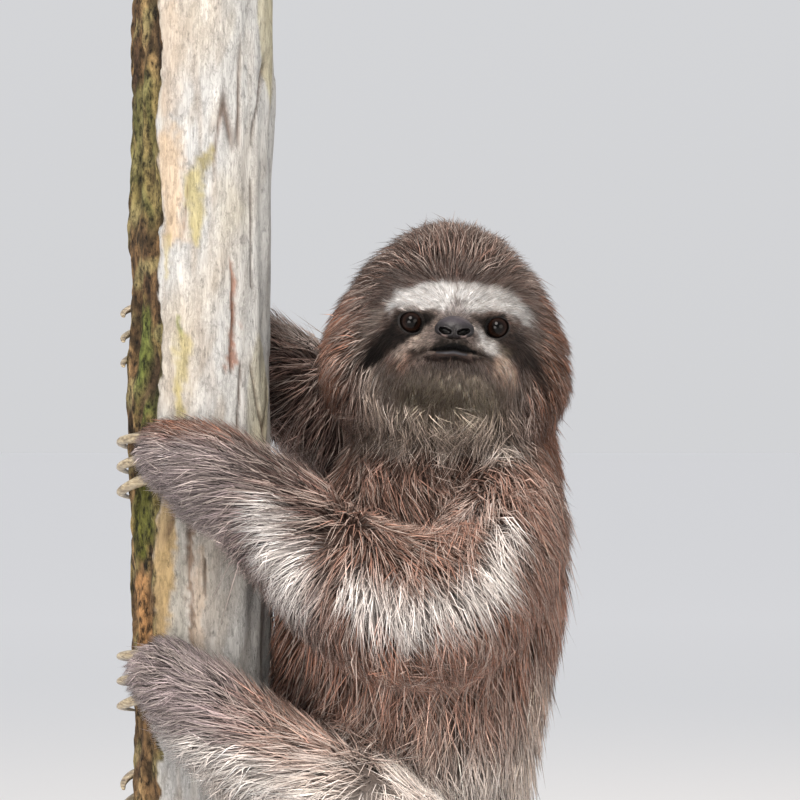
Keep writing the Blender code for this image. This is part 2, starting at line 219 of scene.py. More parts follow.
def stroke(across: Array, up: Array, path: Sequence[tuple], soft: float) -> Array:
    """Return where a brush stroke of changing width lies.

    Args:
        across: Each place's first coordinate, in millimetres.
        up: Its second coordinate.
        path: The stroke's points: two coordinates and a half width.
        soft: Width of the feathered edge.

    Returns:
        1 inside, 0 outside.
    """
    best = np.full(across.shape, -1e3)
    for start, end in zip(path, path[1:]):
        run = (end[0] - start[0], end[1] - start[1])
        share = ((across - start[0]) * run[0] + (up - start[1]) * run[1]) / (run[0] ** 2 + run[1] ** 2)
        share = np.clip(share, 0.0, 1.0)
        gap = np.hypot(across - start[0] - share * run[0], up - start[1] - share * run[1])
        best = np.maximum(best, start[2] + share * (end[2] - start[2]) - gap)
    return ease(best, -soft, soft)


def gathered(items: bpy.types.bpy_prop_collection, name: str, width: int, kind: type = float) -> Array:
    """Read one property of a mesh's items.

    Args:
        items: The mesh's collection.
        name: Name of the property.
        width: How many numbers each item has.
        kind: Whole or real numbers.

    Returns:
        One row for each item.
    """
    values = np.empty(len(items) * width, kind)
    items.foreach_get(name, values)
    return values.reshape(-1, width)


def coordinates(mesh: Mesh) -> Array:
    """Read a mesh's points as one row each."""
    return gathered(mesh.vertices, "co", 3)


def place(mesh: Mesh, points: Array) -> None:
    """Write a mesh's points back."""
    mesh.vertices.foreach_set("co", points.astype(np.float32).ravel())
    mesh.update()


def normals(mesh: Mesh) -> Array:
    """Read the direction that each point of a mesh faces."""
    return gathered(mesh.vertex_normals, "vector", 3)


def show(name: str, source: BMesh | Mesh, smooth: bool = True) -> Object:
    """Put a finished mesh into the scene.

    Args:
        name: Name of the new piece.
        source: The shape, as a bmesh, which is freed, or as a mesh.
        smooth: Whether its faces are shaded smooth.

    Returns:
        The new object, at the origin.
    """
    mesh = source
    if isinstance(source, BMesh):
        mesh = bpy.data.meshes.new(name)
        source.to_mesh(mesh)
        source.free()
    if smooth:
        mesh.shade_smooth()
    item = bpy.data.objects.new(name, mesh)
    bpy.context.scene.collection.objects.link(item)
    return item


def round_edges(bm: BMesh, edges: list[BMEdge], radius: float, steps: int) -> None:
    """Round some edges of a shape over with a number of steps."""
    bmesh.ops.bevel(bm, geom=edges, offset=radius, segments=steps, profile=0.5, affect="EDGES", material=-1)


def settle(item: Object) -> None:
    """Make an object's modifiers part of its mesh.

    Args:
        item: The object.
    """
    graph = bpy.context.evaluated_depsgraph_get()
    shaped = bpy.data.meshes.new_from_object(item.evaluated_get(graph))
    item.modifiers.clear()
    item.data = shaped


def remesh(item: Object, voxel: float, smoothing: int) -> None:
    """Rebuild an object as one closed skin and smooth it.

    Args:
        item: The object.
        voxel: Size of the new faces.
        smoothing: Number of smoothing passes.
    """
    step = item.modifiers.new("one_skin", "REMESH")
    step.mode = "VOXEL"
    step.voxel_size = voxel
    step.use_smooth_shade = True
    soften = item.modifiers.new("soften", "SMOOTH")
    soften.iterations = smoothing
    soften.factor = 0.5
    settle(item)


def merged(node: str) -> BMesh:
    """Copy a CAD node into a bmesh with its loose triangles joined.

    Args:
        node: Name of the node.

    Returns:
        The copy, which its user frees.
    """
    bm = bmesh.new()
    bm.from_mesh(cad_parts[node].data)
    bmesh.ops.remove_doubles(bm, verts=bm.verts, dist=TOUCHING)
    bm.normal_update()
    return bm


def centre(node: str) -> Array:
    """Return the middle of a CAD node's box."""
    low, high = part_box(node)
    return np.array((low + high) / 2.0)


def hand_in(item: Object, slot: str, *nodes: str) -> None:
    """Let a piece ride on the body and stand for its CAD nodes.

    Args:
        item: The finished piece.
        slot: Name of its material slot; not used.
        nodes: The CAD nodes whose place it takes.
    """
    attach(item, ROOT)
    if nodes:
        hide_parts(*nodes)
    LOG.info("%s: %d faces", item.name, len(item.data.polygons))


def paint(mesh: Mesh, name: str, values: Array) -> None:
    """Store a colour or a number for each point of a mesh.

    Args:
        mesh: The mesh.
        name: Name that the finish reads it by.
        values: One row of three for a colour, or one number, for each point.
    """
    if values.ndim == 2:
        layer = mesh.attributes.new(name, "FLOAT_COLOR", "POINT")
        layer.data.foreach_set("color", np.c_[values, np.ones(len(values))].astype(np.float32).ravel())
    else:
        layer = mesh.attributes.new(name, "FLOAT", "POINT")
        layer.data.foreach_set("value", values.astype(np.float32))


# ---------- finishes


def add_node(tree: NodeTree, kind: str, settings: dict | None = None,
             links: dict | None = None) -> Node:
    """Add one node with its settings and its incoming links.

    Args:
        tree: The node tree.
        kind: Blender's name of the node.
        settings: Values by property name, or by socket name or number. "stops" fills a ramp.
        links: Outgoing sockets of other nodes, by this node's socket name or number.

    Returns:
        The new node.
    """
    node = tree.nodes.new(kind)
    for name, value in (settings or {}).items():
        if name == "stops":
            while len(node.color_ramp.elements) < len(value):
                node.color_ramp.elements.new(0.5)
            for element, (position, colour) in zip(node.color_ramp.elements, value):
                element.position = position
                element.color = (*colour, 1.0)
        elif isinstance(name, str) and hasattr(node, name):
            setattr(node, name, value)
        else:
            node.inputs[name].default_value = value
    for name, socket in (links or {}).items():
        tree.links.new(socket, node.inputs[name])
    return node


@dataclass
class Recipe:
    """A material in the making: its shader, its nodes, and the steps that the finishes share."""

    made: Material
    tree: NodeTree
    shader: Node
    places: NodeSocket

    def give(self, name: str, value: NodeSocket) -> None:
        """Link a value to one of the shader's own sockets."""
        self.tree.links.new(value, self.shader.inputs[name])

    def stored(self, name: str, output: str = "Fac") -> NodeSocket:
        """Return a number, or a colour, that is stored on the mesh."""
        return add_node(self.tree, "ShaderNodeAttribute", {"attribute_name": name}).outputs[output]

    def stretched(self, scale: tuple[float, float, float], where: NodeSocket | None = None) -> NodeSocket:
        """Return places scaled along the axes: what is read there is longer where the scale is below 1."""
        links = {"Vector": self.places if where is None else where}
        return add_node(self.tree, "ShaderNodeMapping", {"Scale": scale}, links).outputs["Vector"]

    def noise(self, size_mm: float, detail: float, roughness: float = 0.5,
              where: NodeSocket | None = None) -> Node:
        """Add a cloudy noise.

        Args:
            size_mm: Size of its swells.
            detail: Number of finer layers.
            roughness: Strength of the finer layers.
            where: Places to read it at, if not the model's own.

        Returns:
            The noise's node.
        """
        settings = {"Scale": 1.0 / (size_mm * MM), "Detail": detail, "Roughness": roughness}
        links = {"Vector": self.places if where is None else where}
        return add_node(self.tree, "ShaderNodeTexNoise", settings, links)

    def ranged(self, value: NodeSocket, low: float, high: float, start: float = 0.0,
               end: float = 1.0) -> NodeSocket:
        """Return a value between low and high as another value goes from start to end."""
        settings = {"From Min": start, "From Max": end, "To Min": low, "To Max": high}
        return add_node(self.tree, "ShaderNodeMapRange", settings, {"Value": value}).outputs["Result"]

    def product(self, first: NodeSocket, second: NodeSocket) -> NodeSocket:
        """Return two values multiplied."""
        times = {"operation": "MULTIPLY"}
        return add_node(self.tree, "ShaderNodeMath", times, {0: first, 1: second}).outputs["Value"]

    def raised(self, value: NodeSocket, factor: float, base: NodeSocket) -> NodeSocket:
        """Return a base with a share of another value on top."""
        settings = {"operation": "MULTIPLY_ADD", 1: factor}
        return add_node(self.tree, "ShaderNodeMath", settings, {0: value, 2: base}).outputs["Value"]

    def between(self, share: NodeSocket, first: NodeSocket, second: NodeSocket) -> NodeSocket:
        """Return a value that goes from the first to the second as the share grows."""
        links = {0: share, 2: first, 3: second}
        return add_node(self.tree, "ShaderNodeMix", {"data_type": "FLOAT"}, links).outputs[0]

    def tinted(self, shade: NodeSocket) -> NodeSocket:
        """Return the marking stored on the mesh, multiplied by a shade of grey."""
        channels = dict.fromkeys(("Red", "Green", "Blue"), shade)
        grey = add_node(self.tree, "ShaderNodeCombineColor", None, channels)
        settings = {"data_type": "RGBA", "blend_type": "MULTIPLY", 0: 1.0}
        links = {6: self.stored(MARKING, "Color"), 7: grey.outputs["Color"]}
        return add_node(self.tree, "ShaderNodeMix", settings, links).outputs[2]

    def ramp(self, value: NodeSocket, *stops: tuple[float, str]) -> NodeSocket:
        """Return the colour at a value, along a ramp of hex colours."""
        settings = {"stops": [(position, linear(code)) for position, code in stops]}
        return add_node(self.tree, "ShaderNodeValToRGB", settings, {"Fac": value}).outputs["Color"]

    def bump(self, height: NodeSocket, strength: float, depth_mm: float, inward: bool = False) -> None:
        """Raise the surface by a height, or sink it.

        Args:
            height: The height, from 0 to 1.
            strength: How much of it shows.
            depth_mm: What a height of 1 is.
            inward: Whether it sinks instead.
        """
        settings = {"Strength": strength, "Distance": depth_mm * MM, "invert": inward}
        node = add_node(self.tree, "ShaderNodeBump", settings, {"Height": height})
        self.give("Normal", node.outputs["Normal"])


@dataclass(frozen=True)
class Finish:
    """What every finish sets on its Principled shader."""

    name: str
    roughness: float = 0.6
    ior: float = 1.5
    specular: float = 0.5
    metallic: float = 0.0

    def start(self) -> Recipe:
        """Return a material with the shader's constant values set on its own sockets."""
        made = bpy.data.materials.new(self.name)
        made.use_nodes = True
        tree = made.node_tree
        shader = tree.nodes["Principled BSDF"]
        for name, value in (("Roughness", self.roughness), ("IOR", self.ior), ("Metallic", self.metallic),
                            ("Specular IOR Level", self.specular)):
            shader.inputs[name].default_value = value
        return Recipe(made, tree, shader, add_node(tree, "ShaderNodeTexCoord").outputs["Object"])


@dataclass(frozen=True)
class Hair(Finish):
    """Coarse dry guard hair: keratin that gives the eye pale tips over dark roots, the roots' darkness partly
    painted shade; barely glossy.
    """

    streak_mm: float = 1.6
    uneven: float = 0.22

    def build(self) -> Material:
        """Return the material, coloured by the marking stored on each tuft."""
        recipe = self.start()
        streak = recipe.noise(self.streak_mm, 2.0).outputs["Fac"]
        shade = recipe.ranged(streak, 1.0 - self.uneven, 1.0 + self.uneven)
        recipe.give("Base Color", recipe.tinted(shade))
        return recipe.made


@dataclass(frozen=True)
class Hide(Finish):
    """Skin under short fur: soft and matt, with the nap as fine bump, moist at the lids and lips."""

    nap_mm: float = 0.45
    nap_height: float = 0.30
    uneven: float = 0.30
    moist_roughness: float = 0.28

    def build(self) -> Material:
        """Return the material, coloured by the marking stored on the skin."""
        recipe = self.start()
        nap = recipe.noise(self.nap_mm, 4.0).outputs["Fac"]
        shade = recipe.ranged(nap, 1.0 - self.uneven, 1.0 + self.uneven)
        recipe.give("Base Color", recipe.tinted(shade))
        recipe.give("Roughness", recipe.ranged(recipe.stored("moist"), self.roughness, self.moist_roughness))
        recipe.bump(nap, self.nap_height, self.nap_mm)
        return recipe.made


# ---------- the head's own frame


@dataclass
class HeadFrame:
    """Turns places in the model to places across, up and ahead of the point between the eyes."""

    middle: Array
    axes: Array

    @classmethod
    def between_eyes(cls) -> "HeadFrame":
        """Set the frame from the two eyes."""
        right, left = centre("eye_right"), centre("eye_left")
        across = left - right
        across[1] = 0.0
        across = unit(across)
        ahead = np.array([0.0, -1.0, 0.0])
        return cls((left + right) / 2.0, np.stack([across, np.cross(across, -ahead), ahead]))

    def inward(self, points: Array) -> Array:
        """Return places across, up and ahead, in metres."""
        return (points - self.middle) @ self.axes.T

    def outward(self, places: Array) -> Array:
        """Return places in the model."""
        return places @ self.axes + self.middle


@dataclass
class Face:
    """The shape and the markings of the face, in millimetres in the head's own frame."""

    head: HeadFrame
    eye_radius: float
    eye_ahead: dict[Side, float]
    eye_place: float
    half: tuple[float, float, float] = (60.0, 53.0, 54.5)
    offset: tuple[float, float] = (2.4, 6.6)
    opening: float = 4.55
    mouth_height: float = -10.6
    mouth_half: float = 17.4
    mouth_middle: float = 0.4
    middle_height: float = -4.0
    tall: float = 1.05
    coat_edge: tuple[float, float] = (24.0, 46.0)

    @classmethod
    def on(cls, head: HeadFrame) -> "Face":
        """Set the face from the CAD eyes."""
        low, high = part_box("eye_left")
        ahead = {side: head.inward(centre(f"eye_{side.word}"))[2] / MM for side in Side}
        return cls(head, (high.y - low.y) / 2.0 / MM, ahead, head.inward(centre("eye_left"))[0] / MM)

    def radius(self, u: Array, v: Array) -> Array:
        """Return the distance from the middle of the face, counted a little longer up and down."""
        return np.hypot(u, (v - self.middle_height) * self.tall)

    def reach(self, u: Array, v: Array) -> Array:
        """Return the distance from the middle of the face, counted longer where the long coat begins."""
        beyond = 1.9 * np.maximum(v - 15, 0) + 1.4 * np.maximum(-v - 26, 0)
        return self.radius(u, v) + beyond + 1.2 * np.maximum(np.abs(u) - 28, 0)

    def outline(self, u: Array, v: Array) -> Array:
        """Return how far ahead the coat's outline stands, before any lid, lip or fold.

        Args:
            u, v: Places across and up the face.

        Returns:
            The distance ahead of the middle of the eyes.
        """
        rise = np.clip((v + self.offset[1]) / self.half[2], -0.98, 0.98)
        taper = np.where(rise > 0, 0.21, 0.30)
        side = (u + self.offset[0]) / (self.half[0] * (0.937 - taper * rise))
        facing = np.sqrt(np.clip(1.0 - rise ** 2 - side ** 2, 0.002, 1))
        ahead = self.half[1] * facing ** 0.55 - 51.0
        ahead += 13.5 * bell(u, 15) * bell(v + 5, 12)
        ahead += 6.0 * bell(u, 15) * bell(v + 19, 12)
        return ahead + 2.0 * bell(u, 26) * bell(v - 13, 6)

    def mouth_line(self, u: Array) -> Array:
        """Return the height of the mouth's line across the face."""
        share = np.abs(u - self.mouth_middle) / self.mouth_half
        return self.mouth_height - 2.6 * share ** 1.2 + 1.1 * ease(share, 0.82, 1.08)

    def skin(self, u: Array, v: Array) -> Array:
        """Return how far ahead the skin stands, with lids, nose bridge, lips and chin.

        Args:
            u, v: Places across and up the face.

        Returns:
            The distance ahead of the middle of the eyes.
        """
        ahead = self.outline(u, v) - 1.1 - 8.0 * ease(self.reach(u, v), *self.coat_edge)
        ahead -= 6.5 * (1.0 - ease(np.hypot((u + 0.15) / 8.5, (v + 2.4) / 5.3), 0.55, 0.90))
        for side in Side:
            ahead -= 3.4 * bell(np.hypot(u - side.value * self.eye_place, v), 7.5)
        ahead += 1.6 * bell(u, 4.6) * bell(v - 5, 5)
        ahead -= 0.8 * bell(np.abs(u) - 8.5, 2.2) * bell(v - 3, 4)
        for side in Side:
            ahead += 1.3 * bell(np.hypot((u - side.value * 6.8) / 1.35, v + 6.4), 2.9)
            ahead -= 0.9 * bell(np.hypot(u - side.value * 18.2, v + 12.4), 2)
        line = v - self.mouth_line(u)
        middle = bell(u - self.mouth_middle, 8)
        inside = ease(-np.abs(u - self.mouth_middle), -self.mouth_half - 0.8, -self.mouth_half + 1.5)
        ahead += 0.9 * bell(line - 1.9, 1) * (0.4 + 0.6 * middle) * inside
        ahead += 1.3 * bell(line + 2, 1.3) * middle
        ahead -= 0.8 * bell(line + 4.6, 1.2) * middle
        ahead -= (1.3 + 1.7 * middle) * bell(line, 0.55 + 0.25 * middle) * inside
        ahead -= 0.5 * bell(u, 0.5) * ease(line, 0.2, 1) * ease(-v, 5.5, 6.5)
        for side in Side:
            ahead = self.lid(u, v, ahead, side)
        return ahead

    def lid_reach(self, u: Array, v: Array, side: Side) -> Array:
        """Return the distance from one eye's axis, stretched to the almond of the lids.

        Args:
            u, v: Places across and up the face.
            side: Which eye.

        Returns:
            The distance, in millimetres.
        """
        across = u - side.value * self.eye_place
        inner = -across * side.value
        leaning = v + 0.10 * inner + 0.35
        lid = np.where(leaning > 0, 1.16, 1.05)
        return np.hypot(across * 0.97, leaning * lid)

    def lid(self, u: Array, v: Array, ahead: Array, side: Side) -> Array:
        """Drape the lids over one eyeball and open them in the middle.

        Args:
            u, v: Places across and up the face.
            ahead: How far ahead the skin stands without the lids.
            side: Which eye.

        Returns:
            How far ahead the skin stands with the lids.
        """
        away = self.lid_reach(u, v, side)
        ball = self.eye_ahead[side]
        rim = ball + math.sqrt(self.eye_radius ** 2 - self.opening ** 2)
        draped = rim + 0.75 - 0.10 * np.maximum(away - self.opening, 0) ** 2
        draped -= 0.35 * bell(away - self.opening - 2.1, 0.45)
        hold = 1.0 - ease(away, self.opening + 1.2, self.opening + 5.2)
        ahead = ahead + (draped - ahead) * hold
        lip = 1.0 - ease(away, self.opening - 0.25, self.opening + 0.35)
        return ahead + (ball - 1.0 - ahead) * lip


@dataclass
class Markings:
    """The animal's colours, with some painted shade and painted light, laid down in the same way on skin and
    coat.
    """

    face: Face

    def face_layers(self, u: Array, v: Array) -> list[tuple[Array, str, float]]:
        """Return the layers of the face's pattern, with its painted shade and painted light, lowest first.

        Args:
            u, v: Places across and up the face.

        Returns:
            Each layer's strength at each place, its colour, and how pale its tips are.
        """
        mirrored = np.abs(u)
        side = np.where(u > 0, 1, 0)
        line = v - self.face.mouth_line(u)
        away = [self.face.lid_reach(u, v, eye) for eye in Side]
        near_eye = np.minimum(away[0], away[1])
        stripe = stroke(mirrored, v, ((7.8, 2.7, 0.9), (13, 1.4, 3.2), (19, -0.4, 6.9), (26.5, -7.4, 5.4),
                                      (34, -14.6, 4), (39, -21.5, 2.2)), 1.9)
        brow = stroke(u, v, ((-27.5, 6, 1.6), (-22, 9.6, 3.8), (-12, 11.4, 5.4),
                             (-4, 10.8, 6), (4, 11, 6.2), (12, 12, 5.4), (20, 11.4, 4.6),
                             (26, 8.6, 3.4), (31, 3.6, 2)), 1.8)
        trail = stroke(u, v, ((-26, 7.4, 2.4), (-31.5, 3.6, 2.4), (-36, -3, 1.6)), 2.2)
        trail = np.maximum(trail, stroke(u, v, ((28, 7.6, 2.6), (33.5, 1.8, 2.4), (37, -5, 1.6)), 2.2))
        streaks = stroke(mirrored, v, ((35, -1, 2.5), (41, -12, 2.6), (45, -26, 2.4)), 2.6)
        return [
            (stroke(u, v, ((-2, -10, 19), (2, -10, 19)), 7), "#7d6e66", 0.2),
            (0.45 * streaks * (1.0 - 0.9 * side), "#a8978b", 0.4),
            (0.8 * stroke(u, v, ((-33, -18, 3), (-31, -30, 6), (-24, -44, 6)), 4), "#a9998d", 0.45),
            (0.7 * trail * (1.0 - 0.45 * side), "#b3a194", 0.45),
            (brow, "#fffefd", 0.9),
            (0.75 * stroke(u, v, ((0, 17.5, 0.6), (0, 9, 0.5)), 0.7), "#7c726d", 0.1),
            (0.80 * stroke(u, v, ((0.3, 10.6, 1.2), (0.3, 7.6, 3.8), (0.3, 4, 6.4)), 2.4), "#837c7d", 0.28),
            (stroke(mirrored, v, ((8.6, -1.6, 1.7), (15, -7.6, 3), (22.5, -13.8, 3.2)), 1.5),
             "#b09c8f", 0.4),
            # Painted light: a near-white streak over the muzzle on one side only, the side that the light
            # falls on.
            (side * stroke(u, v, ((8, -2.2, 1.8), (12, -5.4, 3.6), (18, -10.6, 3.4)), 1.8), "#fdf8f5", 0.8),
            (0.55 * stroke(mirrored, v, ((19, -16.5, 3.2), (23, -19.6, 3.2)), 2), "#8c6957", 0.15),
            (0.85 * side * stroke(u, v, ((20, -15.5, 3.6), (24, -20, 3.6)), 2), "#ecc8b1", 0.35),
            (0.5 * side * stroke(u, v, ((21, -9, 1.6), (24, -11.5, 2)), 1.4), "#b9a98c", 0.2),
            (stroke(u, v, ((-6, -5, 4.6), (6, -5, 4.6)), 2.6), "#675b57", 0.1),
            # Dark bare skin with painted shade: just above the mouth's line, and from under the nose down to
            # the mouth.
            (0.70 * stroke(u, line, ((-13, 1.2, 0.7), (13, 1.2, 0.7)), 1.4), "#463b34", 0),
            (0.90 * stroke(u, v, ((0.2, -6.8, 5.6), (-0.4, -8.8, 6.4), (-0.6, -10.4, 8.2)), 1.3),
             "#1c1612", 0),
            (0.80 * stroke(mirrored, v, ((12.4, -13, 1.2), (16.4, -13.9, 2.1)), 1.9), "#2c1f19", 0),
            (0.90 * stroke(u, v, ((-8, -18.5, 3.2), (8, -18.5, 3.2)), 2.6), "#463b36", 0.15),
            # The chin and throat: their pale olive-grey, painted lighter still to make up for the shade under
            # the chin, so partly painted light.
            (0.90 * stroke(u, v, ((-10, -34, 11), (10, -34, 11)), 5.5), "#a9a18c", 0.38),
            (0.88 * stroke(u, v, ((-18, -44, 6), (0, -47, 7), (18, -45, 6)), 4), "#a5978a", 0.34),
            ((0.95 - 0.15 * side) * stripe, "#16110f", 0),
            (1.0 - ease(near_eye, 5.2, 6.8), "#110d0c", 0),
            (0.90 * stroke(u, line, ((-12, -2.4, 1), (-7, -3.2, 1.5), (7, -3.2, 1.5),
                                     (12.5, -2.4, 1)), 0.9), "#2e211d", 0),
            # The lower lip: dark grey skin with a blue-grey tint that is a painted sheen.
            (0.95 * stroke(u, line, ((-6.4, -1.5, 0.4), (5.6, -1.5, 0.4)), 0.45), "#2e3036", 0),
            # Painted shade: the mouth's line and its ends, near-black in the crease between the lips.
            (0.55 * stroke(u, line, ((-15.4, -0.2, 0.3), (-9, -0.4, 0.7)), 0.7), "#231c1a", 0),
            (0.55 * stroke(u, line, ((9, -0.4, 0.7), (16.4, -0.2, 0.3)), 0.7), "#231c1a", 0),
            (stroke(u, line, ((-9, 0.1, 0.8), (0, 0.7, 1.5), (9.8, 0.1, 0.8)), 0.4), "#0a0808", 0),
        ]

    def body_layers(self, points: Array, uvw: Array) -> list[tuple[Array, str, float]]:
        """Return the layers of the body's pattern, with painted shade under the hood's edge, lowest first.

        Args:
            points: Places in the model.
            uvw: The same places across, up and ahead of the point between the eyes.

        Returns:
            Each layer's strength at each place, its colour, and how pale its tips are.
        """
        x, z = points[:, 0] / MM, points[:, 2] / MM
        x = x + 2.6 * drift(points, 0.012, 3)
        z = z + 2.6 * drift(points, 0.012, 4)
        height, out = uvw[:, 1] / MM, np.abs(uvw[:, 0] + 3.0 * MM) / MM
        on_head = ease(height, -62, -50)
        hand = ease(-x, 52, 84)
        near = ease(-points[:, 1], 0.020, 0.050)
        forearm = ease(-x, 16, 44) * ease(-points[:, 1], 0.040, 0.060) * ease(z, 340, 370)
        return [
            (ease(z, 380, 420) * (1.0 - hand), "#89685b", 0.32),
            ((1.0 - ease(z, 285, 362)) * (0.55 + 0.45 * near), "#b39a8f", 0.46),
            (0.9 * (1.0 - ease(z, 296, 328)) * (0.35 + 0.65 * near), "#e8dbd2", 0.70),
            (forearm, "#543f3a", 0.27),
            (hand, "#96888a", 0.42),
            (on_head, "#674f46", 0.34),
            (on_head * ease(out, 38, 50) * (1.0 - ease(height, 0, 26)), "#946651", 0.24),
            (0.8 * on_head * ease(uvw[:, 0] / MM, 34, 44) * (1.0 - ease(height, 10, 30)), "#6e4b3a", 0.10),
            (on_head * (1.0 - ease(out, 24, 40)) * (1.0 - ease(height, -26, -16)), "#8b7c70", 0.36),
            (on_head * (1.0 - ease(out, 30, 46)) * (1.0 - ease(height, -56, -48)), "#a99b8f", 0.45),
            (0.9 * near * stroke(x, z, ((-58, 424, 4), (-50, 408, 9), (-44, 394, 9),
                                 (-40, 384, 4)), 5), "#f3ebe8", 0.88),
            (0.95 * near * stroke(x, z, ((-20, 391, 5), (-8, 382, 8.5), (8, 379, 9),
                                  (25, 385, 6.5), (38, 396, 9), (46, 409, 6)), 5), "#eee5e1", 0.8),
            (0.75 * stroke(x, z, ((-32, 420, 3), (-30.5, 402, 2.6), (-30, 384, 1.6)), 3), "#7f6459", 0.35),
            (0.6 * near * stroke(x, z, ((30, 424, 1.5), (42, 409, 3)), 4), "#dccfc8", 0.7),
            (0.6 * stroke(x, z, ((65, 352, 3), (58, 326, 6), (54, 300, 8)), 5), "#c2b4a8", 0.6),
            (0.9 * stroke(x, z, ((-98, 318, 9), (-66, 303, 15)), 7), "#efe6e0", 0.85),
            (0.6 * ease(drift(points, 0.055, 9), 0.25, 1.1) * (1.0 - ease(z, 300, 335)), "#c4b5aa", 0.6),
            (0.85 * ease(points[:, 1], 0.040, 0.052) * ease(z, 488, 500), "#c0aca0", 0.6),
            # Painted shade: a dark line in the crease along the hood's lower edge, above its pale fringe.
            (0.7 * near * stroke(x, z, ((-2, 454.5, 1.4), (24, 452, 2), (50, 455, 1.4)), 2),
             "#30251f", 0.1),
            (0.75 * near * stroke(x, z, ((-12, 449, 1), (22, 445.5, 1.5), (52, 449, 1.2)), 1.7),
             "#d3c6ba", 0.65),
            # Painted shadow: a dark line on the chest under the hood's pale fringe.
            (0.6 * near * stroke(x, z, ((-4, 440.5, 1.2), (24, 438, 1.8), (52, 442, 1.2)), 2.2),
             "#3a2820", 0.1),
            (0.6 * ease(points[:, 1], -0.010, 0.010) * ease(-x, 20, 34) * ease(z, 415, 440),
             "#8f7e79", 0.4),
        ]

    def at(self, points: Array) -> tuple[Array, Array]:
        """Colour some places on the animal.

        Args:
            points: Places in the model, one a row.

        Returns:
            The colour of each place, and how pale the hair's tips are there.
        """
        uvw = self.face.head.inward(points)
        colour = rows("#8a6150", len(points))
        paleness = np.full(len(points), 0.36)
        u, v = uvw[:, 0] / MM, uvw[:, 1] / MM
        wobble = 0.35 + 0.65 * ease(np.hypot(u, v + 4.0), 14.0, 34.0)
        on_face = 1.0 - ease(np.hypot(u, (v + 6.0) * 0.95), 44.0, 50.0)
        in_front = ease(uvw[:, 2] / MM, -34.0, -26.0) * on_face
        u = u + wobble * drift(points, 0.005, 5)
        v = v + wobble * drift(points, 0.005, 6)
        laid = self.body_layers(points, uvw)
        laid += [(weight * in_front, code, pale) for weight, code, pale in self.face_layers(u, v)]
        for weight, code, pale in laid:
            colour = blend(colour, rows(code, 1), weight)
            paleness = paleness + (pale - paleness) * weight
        speckle = 0.42 * drift(points, 0.0021, 7) * (0.25 + 0.75 * ease(-v, 11.0, 18.0)) * in_front
        tuft = 0.13 * drift(points, 0.007, 8) * (1.0 - in_front)
        return colour * np.exp(speckle + tuft)[:, None], paleness


# ---------- skin


@dataclass(frozen=True)
class Part:
    """How the coat lies on one kind of body part, in millimetres."""

    depth: float
    length: float
    lift: float
    width: float


PARTS = {
    "head": Part(8.5, 18.0, 0.44, 0.26),
    "neck": Part(11.0, 25.0, 0.30, 0.31),
    "thorax": Part(11.5, 32.0, 0.28, 0.34),
    "abdomen": Part(11.5, 32.0, 0.28, 0.34),
    "rump": Part(11.0, 29.0, 0.30, 0.34),
    "tail": Part(7.0, 18.0, 0.35, 0.30),
    "upper_arm": Part(11.0, 34.0, 0.28, 0.34),
    "forearm": Part(10.5, 31.0, 0.30, 0.33),
    "hand": Part(7.5, 19.0, 0.34, 0.28),
    "thigh": Part(11.0, 32.0, 0.28, 0.34),
    "shin": Part(10.0, 29.0, 0.30, 0.33),
    "foot": Part(7.5, 18.0, 0.34, 0.27),
}
FLESH = tuple(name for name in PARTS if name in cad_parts) + tuple(
    f"{side.word}_{name}" for side in Side for name in PARTS if f"{side.word}_{name}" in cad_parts)
FACE_SOLIDS = ("eye_left", "eye_right", "nose")


LIMB_ENDS = {kind: pair for pair in (("forearm", "hand"), ("shin", "foot")) for kind in pair}


def kind_of(node: str) -> Part:
    """Return how the coat lies on a node."""
    return PARTS[node.removeprefix("left_").removeprefix("right_")]


@dataclass(frozen=True)
class Trunk:
    """Where the trunk's axis stands, how thick the trunk is and where it is sawn off."""

    axis: tuple[float, float]
    radius: float
    ends: tuple[float, float]

    @classmethod
    def measured(cls) -> "Trunk":
        """Read the trunk from its CAD box."""
        low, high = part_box("perch")
        middle = (low + high) / 2.0
        return cls((middle.x, middle.y), (high.x - low.x) / 2.0, (low.z, high.z))

    def away(self, points: Array) -> Array:
        """Return how far places are from the trunk's axis."""
        return np.hypot(points[:, 0] - self.axis[0], points[:, 1] - self.axis[1])


